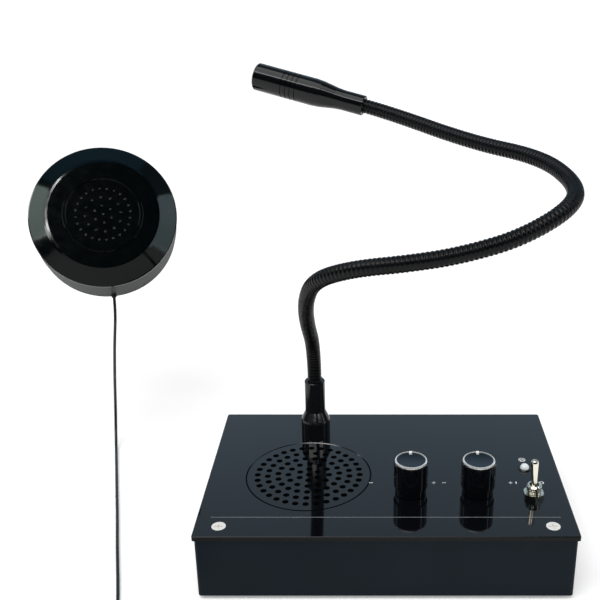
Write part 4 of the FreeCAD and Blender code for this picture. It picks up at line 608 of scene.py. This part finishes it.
# %% Five lengths of hose, one for each joint
stations = []
for joint in frame["joints"]:
    if joint["name"].startswith("gooseneck_bend"):
        pivot = Vector(joint["pos_m"])
        nearest = min(range(len(neck_points)), key=lambda k: (neck_points[k] - pivot).length)
        heading = (neck_points[nearest + 1] - neck_points[nearest - 1]).normalized()
        stations.append((along[nearest], neck_points[nearest], heading))
        print(joint["name"], "sits", round(along[nearest] / MM, 1), "mm along the neck")
cuts = [0.0] + [(a[0] + b[0]) / 2 for a, b in zip(stations, stations[1:])] + [along[-1]]
stands_for = [["gooseneck_root"], ["gooseneck_link_1"], ["gooseneck_link_2"], ["gooseneck_link_3"],
              ["gooseneck_link_4", "gooseneck_link_5"]]
hoses = []
for k, (_, pivot, heading) in enumerate(stations):
    piece = grown("neck_hose_%d" % (k + 1), hose, {
        "Route": neck_path, "Radius": NECK_RADIUS, "Rib pitch": RIB_PITCH, "Rib depth": RIB_DEPTH,
        "From": cuts[k], "To": cuts[k + 1], "Finish": finishes["gooseneck_steel"]})
    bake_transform(piece)
    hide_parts(*stands_for[k])
    hoses.append(piece.name)
bpy.data.objects.remove(neck_path)
print("hose cut at", [round(x / MM, 1) for x in cuts], "mm")


# %% [markdown]
# A nylon tie holds the coil together. It is a flat band that goes once round the bundle, with a small lock
# on top. A ring would be quicker, but the band has to hug a flat bundle, so it is a rounded rectangle with a
# thickness.

# %% Nylon tie round the coil
TIE_THICK, TIE_WIDE, TIE_CORNER, TIE_SLACK = 0.45, 2.5, 1.2, 0.8
TIE_TURN = radians(70.0)
BUNDLE_HIGH, BUNDLE_PRESS = 6.35, 0.05
LOCK_SIZE, LOCK_ASIDE, LOCK_ABOVE, LOCK_BEVEL = (3.6, 3.8, 1.9), 1.2, 0.9, 0.35


def rounded_loop(half_wide, half_high, corner, count=6):
    """Points of a rectangle with round corners, across and up."""
    made = []
    for quarter, (side, up) in enumerate(((1, 1), (-1, 1), (-1, -1), (1, -1))):
        for k in range(count + 1):
            angle = pi / 2 * (quarter + k / count)
            made.append((side * (half_wide - corner) + corner * cos(angle),
                         up * (half_high - corner) + corner * sin(angle)))
    return made


def bridge(shape, rows):
    """Faces between each row of points and the next one, round to the first row."""
    for row, following in zip(rows, rows[1:] + rows[:1]):
        for k in range(len(row)):
            after = (k + 1) % len(row)
            shape.faces.new((row[k], row[after], following[after], following[k]))


def finished(name, shape, finish):
    """The object of a finished shape, with its faces turned outwards and its finish."""
    bmesh.ops.recalc_face_normals(shape, faces=shape.faces)
    mesh = bpy.data.meshes.new(name)
    shape.to_mesh(mesh)
    shape.free()
    mesh.materials.append(finish)
    piece = bpy.data.objects.new(name, mesh)
    scene.collection.objects.link(piece)
    print(name, "has", len(mesh.polygons), "faces")
    return piece


tie_shape = bmesh.new()
half_wide, half_high = (COIL_OUTER - COIL_INNER) / 2 + TIE_SLACK, (BUNDLE_HIGH - BUNDLE_PRESS) / 2
inside = rounded_loop(half_wide, half_high, TIE_CORNER)
outside = rounded_loop(half_wide + TIE_THICK, half_high + TIE_THICK, TIE_CORNER + TIE_THICK)
rims = ((inside, -1), (outside, -1), (outside, 1), (inside, 1))
bridge(tie_shape, [[tie_shape.verts.new((x, side * TIE_WIDE / 2, z)) for x, z in loop]
                   for loop, side in rims])
lock_place = Matrix.Translation((LOCK_ASIDE, 0, BUNDLE_HIGH / 2 + LOCK_ABOVE))
lock = bmesh.ops.create_cube(tie_shape, size=1.0, matrix=lock_place @ Matrix.Diagonal((*LOCK_SIZE, 1)))
lock_edges = list({e for v in lock["verts"] for e in v.link_edges})
bmesh.ops.bevel(tie_shape, geom=lock_edges, offset=LOCK_BEVEL, segments=2, affect="EDGES")
tie_shape.transform(Matrix.Diagonal((MM, MM, MM, 1))
                    @ Matrix.Translation((*COIL_MIDDLE, TIE_THICK + BUNDLE_HIGH / 2))
                    @ Matrix.Rotation(TIE_TURN, 4, "Z")
                    @ Matrix.Translation(((COIL_INNER + COIL_OUTER) / 2, 0, 0)))
coil_tie = finished("coil_tie", tie_shape, finishes["tie_black"])
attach(coil_tie, "desk_unit")
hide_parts("cable_tie")

# %% The lead rides on the desk unit
speaker_lead.data.materials.append(finishes["cable_pvc"])
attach(speaker_lead, "desk_unit")
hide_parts("cable", "cable_coil", "cable_tail")
print("lead declared")


# %% [markdown]
# White marks are printed on the acrylic: a minus and a plus at the two sides of each knob, a lamp sign by
# the lamp, and a bar and a ring by the switch. They could be a pattern in the acrylic's material, but ink
# stands a little proud and has a finish of its own, so they are a thin solid. Its 0.04 mm is more than real
# ink has, and still too thin to see from the side.

# %% Printed marks, in millimetres
INK_HIGH, RING_STEPS = 0.00004, 40
MARK_LINE_Y, MARK_LONG, MARK_THICK, PLUS_TALL = -11.3, 1.5, 0.36, 1.6
KNOB_MARKS = {"inner_knob": (16.5, 10.05), "outer_knob": (13.4, 14.85)}
SIGN_BEHIND, SIGN_RADIUS, SIGN_RING, SIGN_LONG, SIGN_BAR = 7.3, 1.35, 0.3, 2.5, 0.28
OFF_RIGHT, OFF_RADIUS, OFF_RING = 5.1, 0.8, 0.34
ON_LEFT, ON_WIDE, ON_TALL = 5.7, 0.4, 1.7
ink_shape = bmesh.new()


def bar(x, y, wide, deep, turn=0.0):
    """A flat bar of ink with its middle at x, y."""
    spot = Matrix.Translation((x * MM, y * MM, PANEL_TOP + INK_HIGH / 2)) @ Matrix.Rotation(turn, 4, "Z")
    size = Matrix.Diagonal((wide * MM, deep * MM, INK_HIGH, 1))
    bmesh.ops.create_cube(ink_shape, size=1.0, matrix=spot @ size)


def swept_round(shape, x, y, profile, count):
    """A closed profile swept round x, y: radii in millimetres, and heights over the panel in metres."""
    turns = [2 * pi * k / count for k in range(count)]
    bridge(shape, [[shape.verts.new(((x + r * cos(turn)) * MM, (y + r * sin(turn)) * MM, PANEL_TOP + high))
                    for turn in turns] for r, high in profile])


def ring(x, y, radius, thick):
    """A flat ring of ink."""
    inner, outer = radius - thick / 2, radius + thick / 2
    swept_round(ink_shape, x, y, ((inner, 0), (outer, 0), (outer, INK_HIGH), (inner, INK_HIGH)), RING_STEPS)


for knob, (minus_left, plus_right) in KNOB_MARKS.items():
    knob_x = place_of(knob)[0] / MM
    bar(knob_x - minus_left, MARK_LINE_Y, MARK_LONG, MARK_THICK)
    bar(knob_x + plus_right, MARK_LINE_Y, MARK_LONG, MARK_THICK)
    bar(knob_x + plus_right, MARK_LINE_Y, MARK_THICK, PLUS_TALL)
lamp_x, lamp_y = (x / MM for x in place_of("led_lamp")[:2])
ring(lamp_x, lamp_y + SIGN_BEHIND, SIGN_RADIUS, SIGN_RING)
for turn in (45, -45):
    bar(lamp_x, lamp_y + SIGN_BEHIND, SIGN_LONG, SIGN_BAR, radians(turn))
switch_x = place_of("switch_nut")[0] / MM
bar(switch_x - ON_LEFT, MARK_LINE_Y, ON_WIDE, ON_TALL)
ring(switch_x + OFF_RIGHT, MARK_LINE_Y, OFF_RADIUS, OFF_RING)
# screen ink: chalky white, thinner in places
ink = grained("white_screen_ink", "#d3d8da", "#f4f6f6", (0.45, 0.6), 0.3, 0.004)
printed_marks = finished("printed_marks", ink_shape, ink)
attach(printed_marks, "desk_unit")


# %% [markdown]
# Two thin lines on the panel look bright. The scored line in front is filled with a grey strip, a painted
# reflection of light along the score. The groove round the grille has a polished slope on its outer side,
# which catches the light. The slope is a triangle that is swept round a circle. A shiny line could be painted
# instead, but a real slope is bright only where it faces a lamp.

# %% Score line with a painted reflection, in millimetres
SCORE_Y, SCORE_HALF_LONG, SCORE_WIDE = -36.0, 69.8, 0.28
SCORE_LOW, SCORE_HIGH, SCORE_BEVEL = 0.14, 0.01, 0.03
low_corner = Vector((-SCORE_HALF_LONG, SCORE_Y - SCORE_WIDE / 2, PANEL_TOP / MM - SCORE_LOW)) * MM
high_corner = Vector((SCORE_HALF_LONG, SCORE_Y + SCORE_WIDE / 2, PANEL_TOP / MM - SCORE_HIGH)) * MM
score_shape = bmesh.new()
bmesh.ops.create_cube(score_shape, size=1.0, matrix=Matrix.Translation((low_corner + high_corner) / 2)
                      @ Matrix.Diagonal((*(high_corner - low_corner), 1)))
bmesh.ops.bevel(score_shape, geom=list(score_shape.edges), offset=SCORE_BEVEL * MM, segments=1,
                affect="EDGES")
# a grey strip in the score: a painted reflection of the light along it, with a dry surface
score_reflection_grey = grained("grey_score_paint", "#757b7d", "#8b9193", (0.4, 0.55), 0.4, 0.004)
score_paint = finished("score_paint", score_shape, score_reflection_grey)
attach(score_paint, "desk_unit")

# %% Polished slope of the grille's groove, in millimetres
GROOVE_MIDDLE, GROOVE_OUTER, GROOVE_SLOPE, SLOPE_STEPS = (-32.7, -5.0), 26.99, 0.37, 180
foot = -GROOVE_SLOPE * MM
corners = ((GROOVE_OUTER - GROOVE_SLOPE, foot), (GROOVE_OUTER, foot), (GROOVE_OUTER, 0))
slope_shape = bmesh.new()
swept_round(slope_shape, *GROOVE_MIDDLE, corners, SLOPE_STEPS)
# the cutter left the slope bright: the acrylic's own black with a fine gloss
slope_black = grained("polished_groove_slope", "#06080b", "#080a0d", (0.12, 0.2), 1.0, 0.002)
groove_slope = finished("groove_slope", slope_shape, slope_black)
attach(groove_slope, "desk_unit")


# %% [markdown]
# A pale gauze behind the holes of the outdoor unit keeps dust out, and is what one sees in the holes. It
# could be a flat disc with a woven pattern, but its threads are coarse enough to be real ones. It is woven
# of two layers of thin threads. Each layer is a row of points, with one long box on each point. The box is
# as long as the disc is wide at that place, so the threads end on a circle.

# %% A tree that lays two crossed layers of threads
gauze, given = new_tree("crossed_gauze", {"Radius": "Float", "Pitch": "Float", "Thread": "Float"})
ROW_SHARE = 0.98
spread = add(gauze, "ShaderNodeMath", {"operation": "MULTIPLY", 1: -ROW_SHARE}, {0: given["Radius"]})
begin = add(gauze, "ShaderNodeCombineXYZ", links={"X": spread})
stride = add(gauze, "ShaderNodeCombineXYZ", links={"X": given["Pitch"]})
across = add(gauze, "ShaderNodeMath", {"operation": "DIVIDE"}, {0: given["Radius"], 1: given["Pitch"]})
number = add(gauze, "ShaderNodeMath", {"operation": "MULTIPLY", 1: 2 * ROW_SHARE}, {0: across})
row = add(gauze, "GeometryNodeMeshLine", {"mode": "OFFSET"},
          {"Count": number, "Start Location": begin, "Offset": stride})
where = add(gauze, "GeometryNodeInputPosition")
parts = add(gauze, "ShaderNodeSeparateXYZ", links={0: where})
square_x = add(gauze, "ShaderNodeMath", {"operation": "MULTIPLY"},
               {0: parts.outputs["X"], 1: parts.outputs["X"]})
square_r = add(gauze, "ShaderNodeMath", {"operation": "MULTIPLY"}, {0: given["Radius"], 1: given["Radius"]})
rest = add(gauze, "ShaderNodeMath", {"operation": "SUBTRACT"}, {0: square_r, 1: square_x})
half = add(gauze, "ShaderNodeMath", {"operation": "SQRT"}, {0: rest})
whole = add(gauze, "ShaderNodeMath", {"operation": "MULTIPLY", 1: 2.0}, {0: half})
size = add(gauze, "ShaderNodeCombineXYZ", links={"X": given["Thread"], "Y": whole, "Z": given["Thread"]})
block = add(gauze, "GeometryNodeMeshCube", {"Size": (1.0, 1.0, 1.0)})
laid = add(gauze, "GeometryNodeInstanceOnPoints", links={"Points": row, "Instance": block, "Scale": size})
lower = add(gauze, "ShaderNodeMath", {"operation": "MULTIPLY", 1: -1.0}, {0: given["Thread"]})
sink = add(gauze, "ShaderNodeCombineXYZ", links={"Z": lower})
crossing = add(gauze, "GeometryNodeTransform", {"Rotation": (0.0, 0.0, pi / 2)},
               {"Geometry": laid, "Translation": sink})
both = add(gauze, "GeometryNodeJoinGeometry", links={0: laid})
feed(both, {0: crossing})
close_tree(gauze, given, both)

# %% Dust gauze of the outdoor unit
UNIT_WALL, GAUZE_RADIUS, GAUZE_PITCH, GAUZE_THREAD = 0.0018, 0.0146, 0.0004, 0.00016
# pale nylon gauze: soft grey threads
nylon = grained("pale_nylon_gauze", "#b9bec2", "#d6dadd", (0.6, 0.75), 0.3, 0.004)
dust_gauze = grown("dust_gauze", gauze, {"Radius": GAUZE_RADIUS, "Pitch": GAUZE_PITCH,
                                         "Thread": GAUZE_THREAD, "Finish": nylon})
gauze_turn = unit_way.to_track_quat("Z", "Y").to_matrix().to_4x4()
gauze_spot = unit_back + unit_way * (unit_face - UNIT_WALL - GAUZE_THREAD)
dust_gauze.data.transform(Matrix.Translation(gauze_spot) @ gauze_turn)
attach(dust_gauze, "desk_unit")


# %% [markdown]
# The switch stands in a threaded bushing, and some turns of its thread show above the nut. Rings would look
# much the same from afar, but a thread is a helix with a three-sided section, so the tree sweeps a
# three-sided ring along a spiral.

# %% A tree that cuts a screw thread
STEPS_A_TURN, RIDGE_SIDES = 36, 3
thread_tree, given = new_tree("screw_thread", {"Place": "Vector", "Radius": "Float", "Pitch": "Float",
                                               "Turns": "Float", "Ridge": "Float"})
climb = add(thread_tree, "ShaderNodeMath", {"operation": "MULTIPLY"}, {0: given["Pitch"], 1: given["Turns"]})
helix = add(thread_tree, "GeometryNodeCurveSpiral", {"Resolution": STEPS_A_TURN},
            {"Rotations": given["Turns"], "Start Radius": given["Radius"], "End Radius": given["Radius"],
             "Height": climb})
section = add(thread_tree, "GeometryNodeCurvePrimitiveCircle", {"Resolution": RIDGE_SIDES},
              {"Radius": given["Ridge"]})
ridge = add(thread_tree, "GeometryNodeCurveToMesh", {"Fill Caps": True},
            {"Curve": helix, "Profile Curve": section})
seated = add(thread_tree, "GeometryNodeTransform", links={"Geometry": ridge, "Translation": given["Place"]})
close_tree(thread_tree, given, seated)

# %% Thread of the switch's bushing
THREAD_PITCH, THREAD_RIDGE, BUSH_TIP = 0.00075, 0.00016, 0.0005
bush_x, bush_y, bush_radius = place_of("switch_bushing")
nut_top, bush_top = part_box("switch_nut")[1].z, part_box("switch_bushing")[1].z
thread_turns = (bush_top - BUSH_TIP - nut_top) / THREAD_PITCH
switch_thread = grown("switch_thread", thread_tree, {
    "Place": (bush_x, bush_y, nut_top + THREAD_RIDGE), "Radius": bush_radius, "Pitch": THREAD_PITCH,
    "Turns": thread_turns, "Ridge": THREAD_RIDGE, "Finish": finishes["switch_chrome"]})
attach(switch_thread, "desk_unit")
print("bushing of radius", round(bush_radius / MM, 2), "mm with", round(thread_turns, 1), "turns of thread")


# %% [markdown]
# The studio floor is white paper without an edge. It is lit like any paper, and a little light of its own
# lifts it to the background's white, so that the object's shadow stays on it. Stronger lamps would whiten it
# too, but they would wash out the object.

# %% Floor
FLOOR_HALF, FLOOR_DROP, FLOOR_GLOW, FIBRES_A_METRE = 8.0, 0.0003, 0.3, 300.0
floor_mesh = bpy.data.meshes.new("studio_floor")
floor_corners = [(x * FLOOR_HALF, y * FLOOR_HALF, 0) for x, y in ((-1, -1), (1, -1), (1, 1), (-1, 1))]
floor_mesh.from_pydata(floor_corners, [], [(0, 1, 2, 3)])
floor = bpy.data.objects.new("studio_floor", floor_mesh)
scene.collection.objects.link(floor)
floor.location.z = -FLOOR_DROP
paper, tree, shader, here = started("white_paper", {"Roughness": 0.95, "Specular IOR Level": 0.0,
                                                    "Emission Color": (1, 1, 1, 1)})
fibre = add(tree, "ShaderNodeTexNoise", {"Scale": FIBRES_A_METRE}, {"Vector": here})
# white paper sends back about four fifths of the light
sheet = add(tree, "ShaderNodeMix", {"data_type": "RGBA", 6: (0.78, 0.78, 0.78, 1), 7: (0.8, 0.8, 0.8, 1)},
            {0: fibre})
ray = add(tree, "ShaderNodeLightPath")
seen = add(tree, "ShaderNodeMath", {"operation": "MAXIMUM"},
           {0: ray.outputs["Is Camera Ray"], 1: ray.outputs["Is Glossy Ray"]})
seen = add(tree, "ShaderNodeMath", {"operation": "MAXIMUM"}, {0: seen, 1: ray.outputs["Is Transmission Ray"]})
glow = add(tree, "ShaderNodeMath", {"operation": "MULTIPLY", 1: FLOOR_GLOW}, {0: seen})
feed(shader, {"Base Color": sheet.outputs[2], "Emission Strength": glow})
floor_mesh.materials.append(paper)
print("floor laid")


# %% [markdown]
# Polished black shows little but what it mirrors, so the room matters as much as the lamps. A panorama of a
# real room could do this. Here the room is drawn by the direction of each ray: a pale wall behind the object
# and at its sides, a dark room in front of it, a dark skirting at the horizon and a dim ceiling.

# %% The room
FILL_LIGHT, ROOM_TINT, WHITE = 0.5, (0.72, 0.95, 1.16, 1), (1, 1, 1, 1)
world = bpy.data.worlds.new("studio")
scene.world = world
world.use_nodes = True
tree = world.node_tree
tree.nodes.clear()
ray = add(tree, "ShaderNodeLightPath")
mirror = add(tree, "ShaderNodeMath", {"operation": "MAXIMUM"},
             {0: ray.outputs["Is Glossy Ray"], 1: ray.outputs["Is Transmission Ray"]})
aim = add(tree, "ShaderNodeTexCoord")
parts = add(tree, "ShaderNodeSeparateXYZ", links={0: aim.outputs["Generated"]})
aside = add(tree, "ShaderNodeMath", {"operation": "ABSOLUTE"}, {0: parts.outputs["X"]})
bands = []
# rear wall, side walls, skirting and ceiling: the direction, where its band begins and ends, and how bright
# the room is at both
for source, start, end, first, last in (
        (parts.outputs["Y"], -0.15, 0.45, 0.03, 0.64), (aside, 0.6, 0.92, 0.0, 0.5),
        (parts.outputs["Z"], 0.12, 0.4, 0.1, 1.0), (parts.outputs["Z"], 0.42, 0.86, 1.0, 0.3)):
    ramp = add(tree, "ShaderNodeMapRange", {"interpolation_type": "SMOOTHSTEP", 1: start, 2: end, 3: first,
                                            4: last}, {0: source})
    bands.append(ramp)
wall = add(tree, "ShaderNodeMath", {"operation": "MAXIMUM"}, {0: bands[0], 1: bands[1]})
for band in bands[2:]:
    wall = add(tree, "ShaderNodeMath", {"operation": "MULTIPLY"}, {0: wall, 1: band})
fill = add(tree, "ShaderNodeBackground", {"Color": WHITE, "Strength": FILL_LIGHT})
room = add(tree, "ShaderNodeBackground", {"Color": ROOM_TINT}, {"Strength": wall})
white = add(tree, "ShaderNodeBackground", {"Color": WHITE, "Strength": 1.0})
lit = add(tree, "ShaderNodeMixShader", links={0: mirror, 1: fill, 2: room})
shown = add(tree, "ShaderNodeMixShader", links={0: ray.outputs["Is Camera Ray"], 1: lit, 2: white})
add(tree, "ShaderNodeOutputWorld", links={0: shown})
print("room drawn with", len(bands), "bands")


# %% [markdown]
# A wide soft light comes from above, and narrow strips draw the thin highlights along the black round parts.
# One set of lamps for everything would be simpler, but each black part needs its highlights in other places.
# So a lamp can be told which pieces it reaches, as flags and small reflectors do in a real studio.

# %% Lamps
def lamp(name, kind, place, aim_at, strength, **sets):
    """A lamp at a place, turned towards a point."""
    data = bpy.data.lights.new(name, kind)
    data.energy = strength
    for key, value in sets.items():
        setattr(data, key, value)
    made = bpy.data.objects.new(name, data)
    made.location = place
    made.rotation_euler = (Vector(aim_at) - Vector(place)).to_track_quat("-Z", "Y").to_euler()
    made.visible_camera = False
    scene.collection.objects.link(made)
    return made


def soft_box(name, place, aim_at, watts, wide, high, tint=(1, 1, 1)):
    """A rectangular lamp."""
    return lamp(name, "AREA", place, aim_at, watts, shape="RECTANGLE", size=wide, size_y=high, color=tint)


def soft_box_from(name, subject, way, away, *rest):
    """A rectangular lamp that looks at a subject from this way and this far away."""
    return soft_box(name, subject + Vector(way).normalized() * away, subject, *rest)


def reach(light, names, state):
    """Let a lamp reach only these pieces (INCLUDE), or all but these (EXCLUDE)."""
    group = bpy.data.collections.new(light.name + "_reach")
    for name in names:
        group.objects.link(nodes.get(name) or bpy.data.objects[name])
    light.light_linking.receiver_collection = group
    for entry in group.collection_objects:
        entry.light_linking.link_state = state


UNIT_SHELL, POST = ["outdoor_front_shell"], ["gooseneck_post"]
STRIP_PLACE, STRIP_AIM, STRIP_SIZE = (-0.1, -0.5, 0.9), (0, 0, 0.1), (1.2, 0.1)
desk_lamps = (
    lamp("soft_overhead", "SUN", (-0.4, -0.3, 1.5), (0, 0, 0), 1.4, angle=radians(50)),
    soft_box("strip_above", STRIP_PLACE, STRIP_AIM, 2.8, *STRIP_SIZE),
    soft_box("strip_right", (0.8, -0.18, 0.5), (0, 0, 0.05), 0.6, 0.05, 0.6),
    soft_box("strip_left", (-0.85, 0.25, 0.5), (-0.1, 0, 0.08), 0.4, 0.05, 0.6),
)
for light in desk_lamps:
    reach(light, UNIT_SHELL, "EXCLUDE")
# the neck and the microphone see the strip above them brighter than the desk unit does
neck_strip = soft_box("neck_strip", STRIP_PLACE, STRIP_AIM, 7.0, *STRIP_SIZE)
reach(neck_strip, hoses + ["mic_sleeve", "mic_barrel"], "INCLUDE")
# the outdoor unit has lamps of its own: direction from its face, watts, width, height and tint
UNIT_LAMP_AWAY = 0.9
face_middle = unit_back + unit_way * unit_face
for name, way, *rest in (
        ("arc_left", (-0.143, -0.673, 0.725), 8.0, 0.1, 0.34),
        ("bead_left", (-0.87, 0.44, 0.19), 20.0, 0.9, 0.45),
        ("spot_left", (-0.7425, -0.6133, 0.2616), 1.0, 0.12, 0.16, (0.95, 1, 0.97)),
        ("wall_left", (-0.78, -0.423, 0.462), 7.5, 0.68, 0.57, (0.8, 1, 0.92)),
        ("wall_right", (0.93, -0.2, 0.29), 5.5, 0.7, 0.68, (0.72, 0.96, 1)),
        ("wall_above", (-0.1, 0.12, 0.98), 2.0, 1.2, 1.2, (0.15, 0.62, 1))):
    reach(soft_box_from(name, face_middle, way, UNIT_LAMP_AWAY, *rest), UNIT_SHELL, "INCLUDE")
# the post's cone shows two small windows close in front of it
WINDOW_AWAY, WINDOW_HIGH, WINDOW_WATTS, CONE_BELOW_TOP = 0.12, 0.0213, 1.46, 0.017
post_cone = neck_foot - Vector((0, 0, CONE_BELOW_TOP))
for name, way, wide in (("window_left", (-0.383, -0.786, 0.485), 0.12),
                        ("window_right", (0.636, -0.636, 0.438), 0.053)):
    window = soft_box_from(name, post_cone, way, WINDOW_AWAY, WINDOW_WATTS * wide, wide, WINDOW_HIGH)
    reach(window, POST, "INCLUDE")
scene.view_settings.view_transform = "Standard"
print("studio lit")


# %% [markdown] The end


print("scene built")
